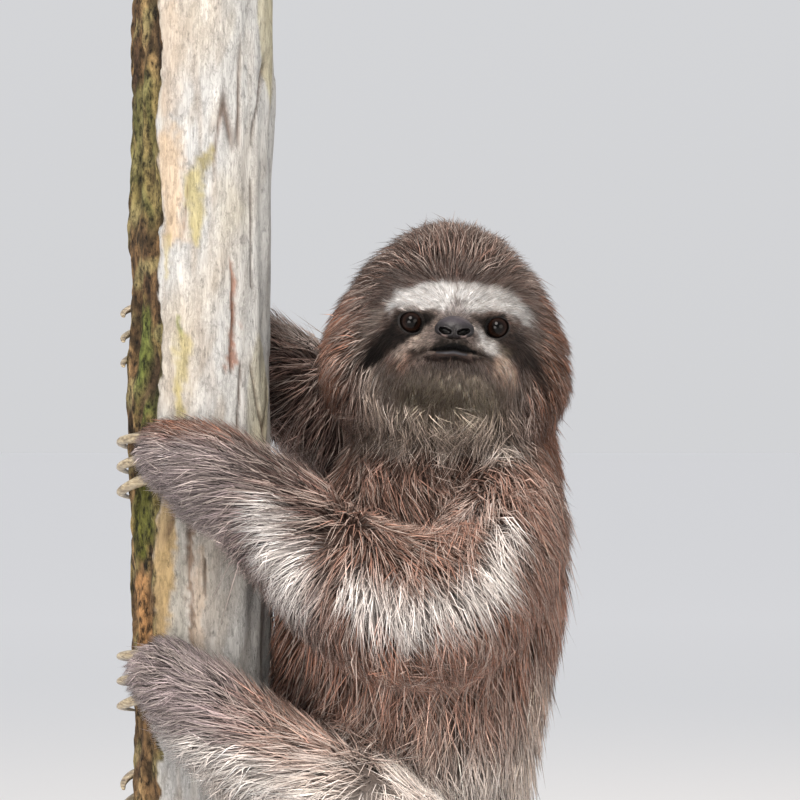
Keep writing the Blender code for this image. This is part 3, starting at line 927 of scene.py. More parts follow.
@dataclass
class Skin:
    """The one skin under the coat, drawn in from the CAD outline by the coat's depth."""

    face: Face
    markings: Markings
    trunk: Trunk
    first_voxel: float = 0.0028
    voxel: float = 0.0025
    swell: float = 0.0006
    patch: float = 31.0
    fine_patch: float = 25.0
    relax: int = 14
    face_coat: float = 1.2
    hollows: tuple = ((-0.012, -0.040, 0.446, 0.6), (0.025, -0.090, 0.428, 0.6), (0.002, -0.112, 0.404, 0.5),
                      (0.012, -0.098, 0.424, 0.6))

    def surround(self) -> tuple[BVHTree, list[str]]:
        """Gather the CAD flesh.

        Returns:
            A tree of its faces, and the name of the node that each face is on.
        """
        points, faces, owners = [], [], []
        for node in FLESH:
            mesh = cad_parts[node].data
            start = len(points)
            points.extend(vertex.co[:] for vertex in mesh.vertices)
            for face in mesh.polygons:
                faces.append([start + corner for corner in face.vertices])
                owners.append(node)
        return BVHTree.FromPolygons(points, faces), owners

    def nodes_near(self, points: Array) -> Array:
        """Return the number in FLESH of the node nearest to each point."""
        tree, owners = self.surround()
        numbers = {node: number for number, node in enumerate(FLESH)}
        return np.array([numbers[owners[tree.find_nearest(point)[2]]] for point in points.tolist()])

    def union(self) -> Object:
        """Join the flesh into one rough skin at the coat's outline."""
        whole = bmesh.new()
        for node in FLESH + FACE_SOLIDS:
            part = merged(node)
            for vertex in part.verts:
                vertex.co += vertex.normal * self.swell
            scrap = bpy.data.meshes.new("scrap")
            part.to_mesh(scrap)
            part.free()
            whole.from_mesh(scrap)
            bpy.data.meshes.remove(scrap)
        item = show("hide", whole)
        remesh(item, self.first_voxel, 6)
        return item

    def settle_field(self, mesh: Mesh, field: Array, passes: int,
                     share: Array | float = 0.6) -> Array:
        """Even out a field over a mesh by averaging each point with its neighbours.

        Args:
            mesh: The mesh.
            field: One number or one row for each of its points.
            passes: How many times it is averaged.
            share: How far each point moves to their mean each time.

        Returns:
            The evened field.
        """
        first, second = gathered(mesh.edges, "vertices", 2, np.int64).T
        size = len(mesh.vertices)
        count = np.bincount(first, minlength=size) + np.bincount(second, minlength=size)
        flat = field.reshape(size, -1).copy()
        for _ in range(passes):
            for column in range(flat.shape[1]):
                values = flat[:, column]
                total = np.bincount(first, values[second], size) + np.bincount(second, values[first], size)
                flat[:, column] = values + share * (total / np.maximum(count, 1) - values)
        return flat.reshape(field.shape)

    def refine_face(self, mesh: Mesh) -> None:
        """Give the face small enough faces for its lids and lips."""
        bm = bmesh.new()
        bm.from_mesh(mesh)
        for radius, cuts in ((self.patch, 2), (self.fine_patch, 1)):
            points = self.face.head.inward(np.array([vertex.co[:] for vertex in bm.verts])) / MM
            inside = (self.face.radius(points[:, 0], points[:, 1]) < radius) & (points[:, 2] > -26.0)
            bm.verts.ensure_lookup_table()
            edges = [edge for edge in bm.edges
                     if inside[edge.verts[0].index] and inside[edge.verts[1].index]]
            bmesh.ops.subdivide_edges(bm, edges=edges, cuts=cuts, use_grid_fill=True)
            bm.verts.index_update()
        bmesh.ops.triangulate(bm, faces=[face for face in bm.faces if len(face.verts) > 4])
        bm.to_mesh(mesh)
        bm.free()

    def sculpt_face(self, mesh: Mesh) -> None:
        """Lay the face's points on its sculpted surface."""
        points = coordinates(mesh)
        places = self.face.head.inward(points) / MM
        u, v, ahead = places.T
        radius = self.face.radius(u, v)
        share = (1.0 - ease(radius, 29.0, 38.0)) * ease(ahead, -30.0, -24.0)
        target = self.face.skin(u, v)
        places[:, 2] = ahead + (target - ahead) * share
        place(mesh, self.face.head.outward(places * MM))

    def coat_depth(self, mesh: Mesh) -> Array:
        """Return the coat's depth over each point of a mesh, in millimetres.

        It is short on the face and runs out where the body lies against the trunk.

        Args:
            mesh: The mesh.

        Returns:
            The depth at each of its points.
        """
        points = coordinates(mesh)
        depth = np.array([kind_of(FLESH[number]).depth for number in self.nodes_near(points)])
        places = self.face.head.inward(points) / MM
        radius = self.face.reach(places[:, 0], places[:, 1])
        face_share = (1.0 - ease(radius, *self.face.coat_edge)) * ease(places[:, 2], -30.0, -20.0)
        depth = depth + (self.face_coat - depth) * face_share
        depth = depth * ease(self.trunk.away(points) - self.trunk.radius, 0.001, 0.016)
        return self.settle_field(mesh, depth, self.relax)

    def build(self) -> Object:
        """Return the finished skin with its markings and its unwrap."""
        item = self.union()
        depth = self.coat_depth(item.data)
        place(item.data, coordinates(item.data) - normals(item.data) * depth[:, None] * MM)
        remesh(item, self.voxel, 8)
        for *middle, most in self.hollows:
            points = coordinates(item.data)
            away = np.linalg.norm(points - np.array(middle), axis=1)
            share = most * (1.0 - ease(away, 0.026, 0.056))
            place(item.data, self.settle_field(item.data, points, 60, share))
        self.refine_face(item.data)
        self.sculpt_face(item.data)
        item.data.shade_smooth()
        self.dress(item)
        return item

    def dress(self, item: Object) -> None:
        """Lay the markings and the unwrap on the skin, its colour darkened under the coat as painted shade.
        """
        mesh = item.data
        points = coordinates(mesh)
        colour, _ = self.markings.at(points)
        places = self.face.head.inward(points) / MM
        u, v, ahead = places.T
        radius = self.face.radius(u, v)
        bare = (1.0 - ease(radius, 16.0, 34.0)) * ease(ahead, -30.0, -20.0)
        # Under the coat the skin is darkened to a fifth of its colour as painted shade between the hairs; the
        # bare face keeps most of it.
        paint(mesh, MARKING, colour * (0.20 + 0.66 * bare)[:, None])
        moist = np.zeros(len(points))
        for side in Side:
            away = self.face.lid_reach(u, v, side)
            moist = np.maximum(moist, 0.12 * bell(away - self.face.opening - 0.1, 0.4))
        line = v - self.face.mouth_line(u)
        moist = np.maximum(moist, 0.35 * bell(line + 1.9, 0.8) * bell(u - self.face.mouth_middle, 5.5))
        paint(mesh, "moist", moist * ease(ahead, -20.0, -10.0))
        bpy.context.view_layer.objects.active = item
        item.select_set(True)
        bpy.ops.object.mode_set(mode="EDIT")
        bpy.ops.mesh.select_all(action="SELECT")
        bpy.ops.uv.smart_project(angle_limit=math.radians(66.0), island_margin=0.003)
        bpy.ops.object.mode_set(mode="OBJECT")
        mesh.uv_layers[0].name = BAKE_MAP
        mesh.materials.append(Hide("short_haired_hide", roughness=0.68, ior=1.42, specular=0.35).build())


# ---------- coat


@dataclass
class Flow:
    """The lie of the coat: which way the hair runs at each place."""

    face: Face
    whorl: tuple[float, float] = (-0.018, 0.456)
    droop: float = 0.033
    hip_shift: float = 0.060
    far_side: float = 0.045
    tuck: float = 0.035
    belly_way: tuple[float, float, float] = (-0.72, -0.1, -0.68)
    tail_way: tuple[float, float, float] = (0.45, 0.0, -0.9)

    def limb_axis(self, side: Side, inner: str, outer: str) -> Array:
        """Return the way along a limb towards its claws."""
        return unit(centre(f"{side.word}_{outer}") - centre(f"{side.word}_{inner}"))

    def on_body(self, points: Array) -> Array:
        """Return the run of the hair over body and shoulder: a fan that opens downward from the armpit.

        Args:
            points: Places on the skin.

        Returns:
            One direction for each point.
        """
        across = points[:, 0] - self.whorl[0] - self.hip_shift * (1.0 - ease(points[:, 2], 0.330, 0.375))
        fall = np.maximum(self.whorl[1] - points[:, 2], self.droop) + 0.25 * np.maximum(across, 0.0)
        fall = fall + 1.6 * np.maximum(across - self.far_side, 0.0)
        over = self.tuck * (2.0 * ease(points[:, 1], -0.020, 0.030) - 1.0)
        ways = unit(np.stack([across, over, -fall], axis=1))
        belly = ease(-points[:, 0], 0.034, 0.050) * (1.0 - ease(points[:, 2], 0.385, 0.405))
        return blend(ways, np.array(self.belly_way)[None, :], belly)

    def on_head(self, points: Array) -> Array:
        """Return the run of the hair over the head: out from the nose's bridge, falling at the sides.

        Args:
            points: Places on the head.

        Returns:
            One direction for each point.
        """
        places = self.face.head.inward(points) / MM
        u, v, ahead = places.T
        origin = 4.0 + 10.0 * ease(v, 8, 18)
        rise = v - origin
        side = ease(np.abs(u), 14, 44)
        low = ease(-v, -2, 26)
        upward = rise - 16.0 * side - 12.0 * low
        run = np.stack([u * (1.0 - 0.55 * low), upward, np.full(len(u), -18)], axis=1)
        run[:, 2] -= 26.0 * ease(-ahead, 20, 60)
        turn = ease(-ahead, 55, 90)[:, None]
        run = run * (1.0 - turn) + np.array([0, -40, -6.0]) * turn
        beard = (ease(-v, 30, 42) * ease(ahead, -40, -20))[:, None]
        hanging = np.stack([0.35 * u, np.full(len(u), -22), np.full(len(u), 9)], axis=1)
        run = run * (1.0 - beard) + hanging * beard
        return run @ self.face.head.axes

    def down_limb(self, points: Array, side: Side, limb: str, end: str) -> Array:
        """Return the run of the hair down a forearm or a shin.

        Args:
            points: Places on the limb.
            side: The limb's side.
            limb: The kind of body part that the limb starts with.
            end: The kind that it ends with.

        Returns:
            One direction for each point.
        """
        axis = self.limb_axis(side, limb, end)
        spots = points - centre(f"{side.word}_{end}")
        away = np.linalg.norm(spots, axis=1)
        below = ((spots @ axis)[:, None] * axis - spots)[:, 2]
        fall = 0.30 + ease(below, -0.024, 0.022) * (0.70 + 1.9 * ease(away, 0.010, 0.085))
        return unit(axis + fall[:, None] * DOWN)

    def run(self, points: Array, parts: Array) -> Array:
        """Return the way the hair runs at each point.

        Args:
            points: Places on the skin.
            parts: The number in FLESH of the node under each place.

        Returns:
            One direction for each point, before it is laid along the skin.
        """
        ways = unit(self.on_body(points))
        for number, node in enumerate(FLESH):
            mine = parts == number
            word, _, kind = node.partition("_")
            if not mine.any():
                continue
            if node == "head":
                ways[mine] = unit(self.on_head(points[mine]))
            elif node == "tail":
                ways[mine] = unit(np.array(self.tail_way))
            elif kind == "thigh":
                ways[mine] = unit(ways[mine] + 0.9 * self.limb_axis(Side[word.upper()], "thigh", "shin"))
            elif kind in LIMB_ENDS:
                limb, end = LIMB_ENDS[kind]
                along = self.down_limb(points[mine], Side[word.upper()], limb, end)
                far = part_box(node)[1].x
                bend = ease(points[mine, 0], far - 0.055, far - 0.018) * (kind == limb)
                ways[mine] = unit(blend(along, ways[mine], bend))
        return ways


@dataclass
class Coat:
    """The coat: thin tapered tufts rooted in the skin and laid along the body."""

    skin: Skin
    flow: Flow
    hide: Object
    patch: float = 0.003
    bent_share: float = 0.65
    lock: int = 18
    proud: float = 0.011
    near_edge: tuple[float, float] = (20.0, 44.0)
    hood_edge: float = 40.0
    stray_share: float = 0.02
    rooted: float = 0.12
    bend_at: float = 0.50
    tip_at: float = 0.62
    lift_low: float = 1.25
    lift_high: float = 0.55
    bark_gap: float = 0.0012
    first_seed: int = 101

    def measure(self) -> None:
        """Work out, for each point of the skin, how the hair on it lies."""
        mesh = self.hide.data
        face = self.skin.face
        self.points, self.facing = coordinates(mesh), normals(mesh)
        self.parts = self.skin.nodes_near(self.points)
        u, v, ahead = (face.head.inward(self.points) / MM).T
        on_head = self.parts == FLESH.index("head")
        front = on_head & (ahead > -38)
        self.radius = np.where(front, face.reach(u, v), 99)
        kinds = [kind_of(node) for node in FLESH]
        table = np.array([[kind.length, kind.lift, kind.width] for kind in kinds])[self.parts]
        table = self.skin.settle_field(mesh, table, 16)
        self.length, self.lift, self.width = table.T
        near = 1.0 - ease(self.radius, *self.near_edge)
        beard = ease(-v, 24, 40) * ease(ahead, -44, -30) * on_head
        self.length = self.length + 3.0 * beard
        short = 1.7 + 3.3 * ease(self.radius, 9, 20) + 3.0 * ease(v, 6, 20) + 8.0 * beard
        for side in Side:
            away = face.lid_reach(u, v, side) - face.opening
            short = np.minimum(short, 1.1 + 0.30 * np.maximum(away, 0))
        self.length = self.length + (short - self.length) * near
        self.width = self.width * (1.0 - (0.46 - 0.30 * ease(-v, 13, 22)) * near)
        self.lift = self.lift * (1.0 - 0.15 * near)
        crown = np.where(on_head, ease(v, 16, 40), 0)
        self.lift = self.lift + 0.22 * crown
        cad, _ = self.skin.surround()
        gap = np.array([cad.find_nearest(point)[3] for point in self.points.tolist()]) / MM
        depth = self.skin.coat_depth(mesh)
        self.depth = self.skin.settle_field(mesh, np.clip(gap, depth, 1.7 * depth), 8)
        faces = [tuple(polygon.vertices) for polygon in mesh.polygons]
        self.tree = BVHTree.FromPolygons(self.points.tolist(), faces)
        self.runs = self.skin.settle_field(mesh, self.flow.run(self.points, self.parts), 10)
        self.loose = ease(1.0 - np.linalg.norm(self.runs, axis=1), 0.10, 0.50)
        self.runs = self.runs + 0.8 * self.loose[:, None] * DOWN
        throat = front * ease(-v, 26, 38) * (1.0 - ease(-v, 56, 66))
        low_body = 1.0 - ease(self.points[:, 2], 0.300, 0.370)
        self.messy = 0.10 + 0.20 * (1.0 - near) + 0.12 * low_body + 0.30 * throat + 0.35 * self.loose
        self.lift = self.lift + 0.10 * throat
        self.length = self.length * (1.0 - 0.30 * throat)
        self.width = self.width * (1.0 - 0.22 * throat)

    def region_of(self, parts: Array, radius: Array) -> dict[Region, Array]:
        """Return which places belong to each region.

        Args:
            parts: The number in FLESH of the node under each place.
            radius: Distance from the middle of the face, far behind it.

        Returns:
            For each region, true at its places.
        """
        found = {region: np.zeros(len(parts), bool) for region in Region}
        for number, node in enumerate(FLESH):
            mine = parts == number
            side, _, kind = node.partition("_")
            if node == "head":
                found[Region.FACE] |= mine & (radius < self.hood_edge)
                found[Region.HOOD] |= mine & (radius >= self.hood_edge)
            elif node in ("neck", "thorax", "abdomen"):
                found[Region[node.upper()]] |= mine
            elif node in ("rump", "tail"):
                found[Region.RUMP] |= mine
            elif kind in ("upper_arm", "forearm", "hand"):
                found[Region[f"{side.upper()}_ARM"]] |= mine
            else:
                found[Region[f"{side.upper()}_LEG"]] |= mine
        return found

    def build(self) -> None:
        """Make the coat's pieces."""
        self.measure()
        mesh = self.hide.data
        mesh.calc_loop_triangles()
        self.corners = gathered(mesh.loop_triangles, "vertices", 3, np.int64)
        self.loops = gathered(mesh.loop_triangles, "loops", 3, np.int64)
        self.uv = gathered(mesh.uv_layers[BAKE_MAP].uv, "vector", 2)
        ends = self.points[self.corners]
        area = np.linalg.norm(np.cross(ends[:, 1] - ends[:, 0], ends[:, 2] - ends[:, 0]), axis=1) / 2.0
        weight = area / self.length[self.corners].mean(axis=1) ** 0.75
        weight = weight * self.open_share(ends.mean(axis=1), self.facing[self.corners].mean(axis=1))
        weight = weight * (1.0 + 2.5 * self.loose[self.corners].mean(axis=1))
        regions = self.region_of(self.parts[self.corners[:, 0]], self.radius[self.corners].mean(axis=1))
        material = Hair("coarse_guard_hair", roughness=0.60, ior=1.55, specular=0.22).build()
        for number, (region, mine) in enumerate(regions.items()):
            piece = self.tufts(region, np.flatnonzero(mine), weight, self.first_seed + number)
            piece.data.materials.append(material)
            hand_in(piece, "coat")

    def open_share(self, middles: Array, facing: Array) -> Array:
        """Return how densely each place is planted.

        Args:
            middles: The middles of the skin's triangles.
            facing: The way that each of them faces.

        Returns:
            0 on lids, nose and lips, less than 1 against the trunk, and 1 elsewhere.
        """
        away = self.skin.trunk.away(middles)
        hidden = ease(-facing[:, 0], 0.4, 0.8) * (1.0 - ease(away, 0.045, 0.065))
        face = self.skin.face
        u, v, ahead = (face.head.inward(middles) / MM).T
        bare = np.zeros(len(middles))
        for side in Side:
            away = face.lid_reach(u, v, side)
            bare = np.maximum(bare, 1.0 - ease(away, face.opening + 0.5, face.opening + 0.9))
        bare = np.maximum(bare, 1.0 - ease(np.hypot(u / 8.4, (v + 2.4) / 5.0), 0.92, 1.0))
        line = v - face.mouth_line(u)
        lips = bell(line + 0.9, 1.5) * (1.0 - ease(np.abs(u - face.mouth_middle), 6.4, 8.4))
        bare = np.maximum(bare, lips > 0.5)
        bare = np.where(ahead > -30.0, bare, 0.0)
        return (1.0 - 0.55 * hidden) * (1.0 - bare)

    def tufts(self, region: Region, triangles: Array, weight: Array, seed: int) -> Object:
        """Make one region's tufts.

        Args:
            region: The region, with its number of triangles.
            triangles: The skin's triangles that it covers.
            weight: How densely each of the skin's triangles is planted.
            seed: Number that starts the random draws.

        Returns:
            The new object.
        """
        draw = np.random.default_rng(seed)
        share = 0.0 if region is Region.FACE else self.bent_share
        bent_count = int(region.value * share / Strand.BENT.triangles)
        count = bent_count + int(region.value * (1.0 - share) / Strand.STRAIGHT.triangles)
        bent = draw.permutation(np.arange(count) < bent_count)
        total = np.cumsum(weight[triangles])
        marks = (np.arange(count) + draw.uniform(size=count)) / count * total[-1]
        chosen = triangles[np.minimum(np.searchsorted(total, marks), len(triangles) - 1)]
        first, second = np.sqrt(draw.uniform(size=count)), draw.uniform(size=count)
        within = np.stack([1.0 - first, first * (1.0 - second), first * second], axis=1)

        def read(values: Array) -> Array:
            """Read a field of the skin at the tufts' roots."""
            return np.einsum("nk,nk...->n...", within, values[self.corners[chosen]])

        root, up = read(self.points), unit(read(self.facing))
        near_face = 1.0 - ease(read(self.radius), *self.near_edge)
        lower = draw.uniform(size=count) > self.bent_share if region is Region.FACE else ~bent
        under = np.where(lower, 1.0 - near_face, 0.0)
        length = read(self.length) * MM * draw.uniform(0.72, 1.22, count) * (1.0 - 0.18 * under)
        width = read(self.width) * MM * draw.uniform(0.75, 1.25, count) * (1.0 - 0.22 * under)
        lift = read(self.lift) * draw.uniform(0.6, 1.35, count)
        stray = draw.uniform(size=count) < self.stray_share * (1.0 - near_face)
        length = np.where(stray, length * 1.15, length)
        lift = np.where(stray, lift + 0.22, lift)
        run = read(self.runs)
        run = unit(run - (run * up).sum(axis=1, keepdims=True) * up)
        aside = np.cross(up, run)
        messy = read(self.messy)
        swing = drift(root, 0.016, seed) + 0.8 * drift(root, 0.006, seed + 50) + 0.7 * draw.normal(size=count)
        run = run * np.cos(messy * swing)[:, None] + aside * np.sin(messy * swing)[:, None]
        low_lift, high_lift = (self.lift_low * lift)[:, None], (self.lift_high * lift)[:, None]
        start_way = run * np.cos(low_lift) + up * np.sin(low_lift)
        end_way = run * np.cos(high_lift) + up * np.sin(high_lift)
        end_way = unit(end_way + (0.18 * (1.0 - near_face))[:, None] * DOWN)
        base = root - up * (self.rooted * length)[:, None]
        middle = base + start_way * (self.bend_at * length)[:, None]
        tip = middle + end_way * (self.tip_at * length)[:, None]
        middle, tip, lock = self.gather(root, middle, tip, near_face, run, draw)
        depth = read(self.depth) * MM * (1.0 + 0.30 * stray)
        low = depth * np.where(under > 0.5, draw.uniform(0.10, 0.50, count), draw.uniform(0.32, 0.98, count))
        tip = self.comb(tip, low, depth * draw.uniform(0.85, 1.15, count))
        middle = self.comb(middle, 0.45 * low, 0.75 * depth)
        middle, tip = self.clear_of_bark(middle), self.clear_of_bark(tip)
        tip = np.clip(tip, np.array(CAD_BOX[0]) - self.proud, np.array(CAD_BOX[1]) + self.proud)
        colour, pale = self.skin.markings.at(root + (tip - root) * 0.55)
        colour = colour * lock[:, None]
        stages = self.shades(colour, pale, near_face, under, draw)
        side = unit(np.cross(unit(middle - base), up))
        ring = self.cross_section(side, np.cross(side, unit(middle - base)), width, draw)
        spots = np.einsum("nk,nkc->nc", within, self.uv[self.loops[chosen]])
        parts = []
        for strand, mine in ((Strand.BENT, bent), (Strand.STRAIGHT, ~bent)):
            if mine.any():
                parts.append(self.needles(strand, base[mine], middle[mine], tip[mine], ring[mine],
                                          stages[mine], spots[mine]))
        return self.join(f"coat_{region.name.lower()}", parts)

    def gather(self, root: Array, middle: Array, tip: Array, near_face: Array, run: Array,
               draw: np.random.Generator) -> tuple[Array, Array, Array]:
        """Draw neighbouring tufts that run the same way into locks with one tip.

        Args:
            root: The tufts' roots.
            middle: Their bends.
            tip: Their tips.
            near_face: 1 on the face's short fur, 0 on the coat.
            run: The way each tuft lies.
            draw: Random numbers.

        Returns:
            The bends, the tips and how light each tuft's lock is.
        """
        leaders = draw.choice(len(root), max(len(root) // self.lock, 1), replace=False)
        tree = KDTree(len(leaders))
        for number, leader in enumerate(leaders.tolist()):
            tree.insert(root[leader], number)
        tree.balance()
        nearest = np.array([tree.find(point)[1] for point in root.tolist()])
        mine = leaders[nearest]
        light = np.exp(draw.normal(-0.04, 1.0, len(leaders))[nearest] * (0.38 + 0.08 * near_face))
        alike = ease((run * run[mine]).sum(axis=1), 0.55, 0.92)
        hold = (draw.uniform(0.15, 0.60, len(root)) * (1.0 - 0.6 * near_face) * alike)[:, None]
        tip = tip + (tip[mine] - tip) * hold
        middle = middle + (middle[mine] - middle) * hold * 0.35
        return middle, tip, light

    def comb(self, points: Array, low: Array, high: Array) -> Array:
        """Keep points between two heights above the skin.

        Args:
            points: The points.
            low: The least height of each.
            high: The greatest height of each.

        Returns:
            The points, moved where needed.
        """
        hits = [self.tree.find_nearest(point) for point in points.tolist()]
        near = np.array([hit[0][:] for hit in hits])
        out = np.array([hit[1][:] for hit in hits])
        height = ((points - near) * out).sum(axis=1)
        kept = np.clip(height, low, high)
        return np.where((kept != height)[:, None], near + out * kept[:, None], points)

    def clear_of_bark(self, points: Array) -> Array:
        """Return the points with those inside the trunk pushed out of it."""
        axis = np.array(self.skin.trunk.axis)
        away = points[:, :2] - axis
        far = np.linalg.norm(away, axis=1, keepdims=True)
        limit = self.skin.trunk.radius + self.bark_gap
        moved = points.copy()
        moved[:, :2] = np.where(far < limit, axis + away / far * limit, points[:, :2])
        return moved

    def cross_section(self, side: Array, over: Array, width: Array, draw: np.random.Generator) -> Array:
        """Return the corners of each tuft's section.

        Args:
            side: The way to each tuft's side.
            over: The way over its back.
            width: Its radius.
            draw: Random numbers.

        Returns:
            Three places for each tuft, from its middle line.
        """
        thirds = np.array([0.0, 2.0, 4.0]) * math.pi / 3.0
        angle = draw.uniform(0.0, 2.0 * math.pi, len(width))[:, None] + thirds
        ring = side[:, None] * np.cos(angle)[..., None] + over[:, None] * np.sin(angle)[..., None]
        return ring * width[:, None, None]

    def shades(self, colour: Array, pale: Array, near_face: Array, under: Array,
               draw: np.random.Generator) -> Array:
        """Shade each tuft from its dark root to its pale tip, no two quite alike; the dark roots and the
        darker lower layer are partly painted shade.

        Args:
            colour: The colour of the coat at each tuft.
            pale: How pale the tips are there.
            near_face: 1 on the face's short fur, 0 on the coat.
            under: 1 for a tuft of the lower layer.
            draw: Random numbers.

        Returns:
            The colours of each tuft's root, bend and tip.
        """
        count = len(colour)
        light = np.minimum(np.exp(draw.normal(-0.12, 0.62, count)), 1.55)[:, None]
        frosted = draw.uniform(size=count) < 0.29 + 0.36 * pale
        gain = np.where(frosted, (0.45 + 0.60 * pale) * ease(pale, 0.0, 0.2), 0.20 * pale)
        gain = gain * draw.uniform(0.6, 1.25, count)
        gain = np.clip(gain * (1.0 - 0.6 * under), 0.0, 1.0)
        # The lower layer, the roots and the bends are darkened: partly the hair's own dark bases, partly
        # painted shade deep in the coat.
        body = colour * light * (1.0 - 0.45 * under)[:, None]
        light_hair = blend(rows("#dccbc1", count), rows("#f3ebe6", count), ease(pale, 0.30, 0.65))
        root_share = np.clip(0.09 + 0.13 * pale + (0.20 + 0.35 * pale) * near_face, 0.0, 0.8)
        root = body * root_share[:, None]
        bend = blend(body * (0.66 + 0.24 * near_face)[:, None], light_hair, 0.55 * gain)
        tips = blend(body * 1.15, light_hair, gain)
        return np.clip(np.stack([root, bend, tips], axis=1), 0.0, 1.0)

    def needles(self, strand: Strand, base: Array, middle: Array, tip: Array, ring: Array,
                stages: Array, spots: Array) -> tuple[Array, Array, Array, Array]:
        """Make closed three-sided needles of one shape.

        Args:
            strand: The shape.
            base: The middle of each needle's foot.
            middle: Its bend.
            tip: Its tip.
            ring: Its section's three corners.
            stages: The colours of its root, bend and tip.
            spots: Its root's place on the skin's unwrap.

        Returns:
            Their points, triangles, points' colours and corners' places on the unwrap.
        """
        count, size = len(base), 3 * strand.value + 1
        points, shade = np.empty((count, size, 3)), np.empty((count, size, 3))
        points[:, 0:3] = base[:, None] + ring
        shade[:, 0:3] = stages[:, None, 0]
        if strand is Strand.BENT:
            points[:, 3:6] = middle[:, None] + 0.85 * ring
            shade[:, 3:6] = stages[:, None, 1]
        points[:, -1] = tip
        shade[:, -1] = stages[:, 2]
        pattern = strand.pattern
        faces = (pattern[None] + size * np.arange(count)[:, None, None]).reshape(-1, 3)
        return points.reshape(-1, 3), faces, shade.reshape(-1, 3), self.patches(strand, spots)

    def patches(self, strand: Strand, spots: Array) -> Array:
        """Give each tuft its own small patch at its root's place on the skin's unwrap.

        Args:
            strand: The tufts' shape.
            spots: Their roots' places on the unwrap.

        Returns:
            One place for each corner of each triangle.
        """
        per_side = 2 * strand.value - 1
        local = np.zeros((strand.triangles, 3, 2))
        for row, corners in enumerate(strand.pattern):
            if row == 0:
                local[row] = ((0.0, 0.0), (0.5, 0.10), (1.0, 0.0))
                continue
            side = (row - 1) // per_side
            for place_in, corner in enumerate(corners):
                top = corner == 3 * strand.value
                level = 1.0 if top else 0.12 + 0.43 * (corner // 3)
                across = side + 0.5 if top else (side if corner % 3 == side else side + 1)
                local[row, place_in] = (across / 3.0, level)
        spread = spots[:, None, None] + (local[None] - 0.5) * self.patch
        return np.clip(spread, 0.0, 1.0).reshape(-1, 2)

    def join(self, name: str, parts: list[tuple[Array, Array, Array, Array]]) -> Object:
        """Put the needles of one region into one mesh.

        Args:
            name: Name of the new piece.
            parts: For each shape of needle, what needles() returns.

        Returns:
            The new object.
        """
        shift, faces = 0, []
        for needle_points, corners, _, _ in parts:
            faces.append(corners + shift)
            shift += len(needle_points)
        points, _, shades, patches = (np.concatenate(column) for column in zip(*parts))
        faces = np.concatenate(faces)
        mesh = bpy.data.meshes.new(name)
        mesh.vertices.add(shift)
        mesh.vertices.foreach_set("co", points.astype(np.float32).ravel())
        mesh.loops.add(len(faces) * 3)
        mesh.loops.foreach_set("vertex_index", faces.astype(np.int32).ravel())
        mesh.polygons.add(len(faces))
        mesh.polygons.foreach_set("loop_start", np.arange(0, len(faces) * 3, 3, dtype=np.int32))
        mesh.update(calc_edges=True)
        paint(mesh, MARKING, shades)
        layer = mesh.uv_layers.new(name=BAKE_MAP)
        layer.uv.foreach_set("vector", patches.astype(np.float32).ravel())
        return show(name, mesh)


# ---------- eyes, nose and claws


@dataclass(frozen=True)
class Cornea(Finish):
    """Wet eyeball: clear cornea over a near-black pupil and a dark red-brown iris."""

    fleck_mm: float = 0.5
    flecked: float = 0.06

    def build(self) -> Material:
        """Return the material, coloured by the angle from the middle of the pupil."""
        recipe = self.start()
        fleck = recipe.noise(self.fleck_mm, 3.0).outputs["Fac"]
        angle = recipe.raised(fleck, self.flecked, recipe.stored("ring"))
        pupil, iris = ((0.34, "#030202"), (0.44, "#0e0806")), ((0.68, "#1b0f0a"), (0.82, "#0a0605"))
        recipe.give("Base Color", recipe.ramp(angle, *pupil, *iris, (1.0, "#110c0a")))
        return recipe.made


@dataclass
class Eyes:
    """Two eyeballs with a slight corneal bulge, looking ahead and a little down."""

    face: Face
    bulge: float = 0.45
    gaze: tuple[float, float, float] = (0.02, -1.0, -0.05)

    def build(self) -> None:
        """Make both eyes."""
        material = Cornea("wet_eyeball", roughness=0.05, ior=1.376, specular=0.20).build()
        for side in Side:
            node = f"eye_{side.word}"
            bm = bmesh.new()
            bmesh.ops.create_uvsphere(bm, u_segments=48, v_segments=32, radius=self.face.eye_radius * MM)
            turn = Vector((0.0, 0.0, 1.0)).rotation_difference(Vector(self.gaze))
            bmesh.ops.rotate(bm, verts=bm.verts, cent=(0.0, 0.0, 0.0), matrix=turn.to_matrix())
            bmesh.ops.translate(bm, verts=bm.verts, vec=centre(node).tolist())
            ball = show(f"{node}_ball", bm)
            points = coordinates(ball.data)
            out = unit(points - centre(node))
            angle = np.arccos(np.clip(out @ unit(np.array(self.gaze)), -1.0, 1.0))
            place(ball.data, points + out * (self.bulge * MM * bell(angle, 0.42))[:, None])
            paint(ball.data, "ring", angle)
            ball.data.materials.append(material)
            hand_in(ball, "eye", node)


@dataclass(frozen=True)
class Rhinarium(Finish):
    """Bare nose leather: dark, pebbled and slightly moist, pink under the nostrils; its stored colour also
    holds painted sheen, highlight and shade.
    """

    pebble_mm: float = 0.55
    depth_mm: float = 0.2

    def build(self) -> Material:
        """Return the material, coloured by the marking stored on the pad."""
        recipe = self.start()
        settings = {"Scale": 1.0 / (self.pebble_mm * MM)}
        pebble = add_node(recipe.tree, "ShaderNodeTexVoronoi", settings, {"Vector": recipe.places})
        away = pebble.outputs["Distance"]
        recipe.give("Base Color", recipe.tinted(recipe.ranged(away, 1.18, 0.62)))
        recipe.bump(away, 0.35, self.depth_mm, inward=True)
        return recipe.made


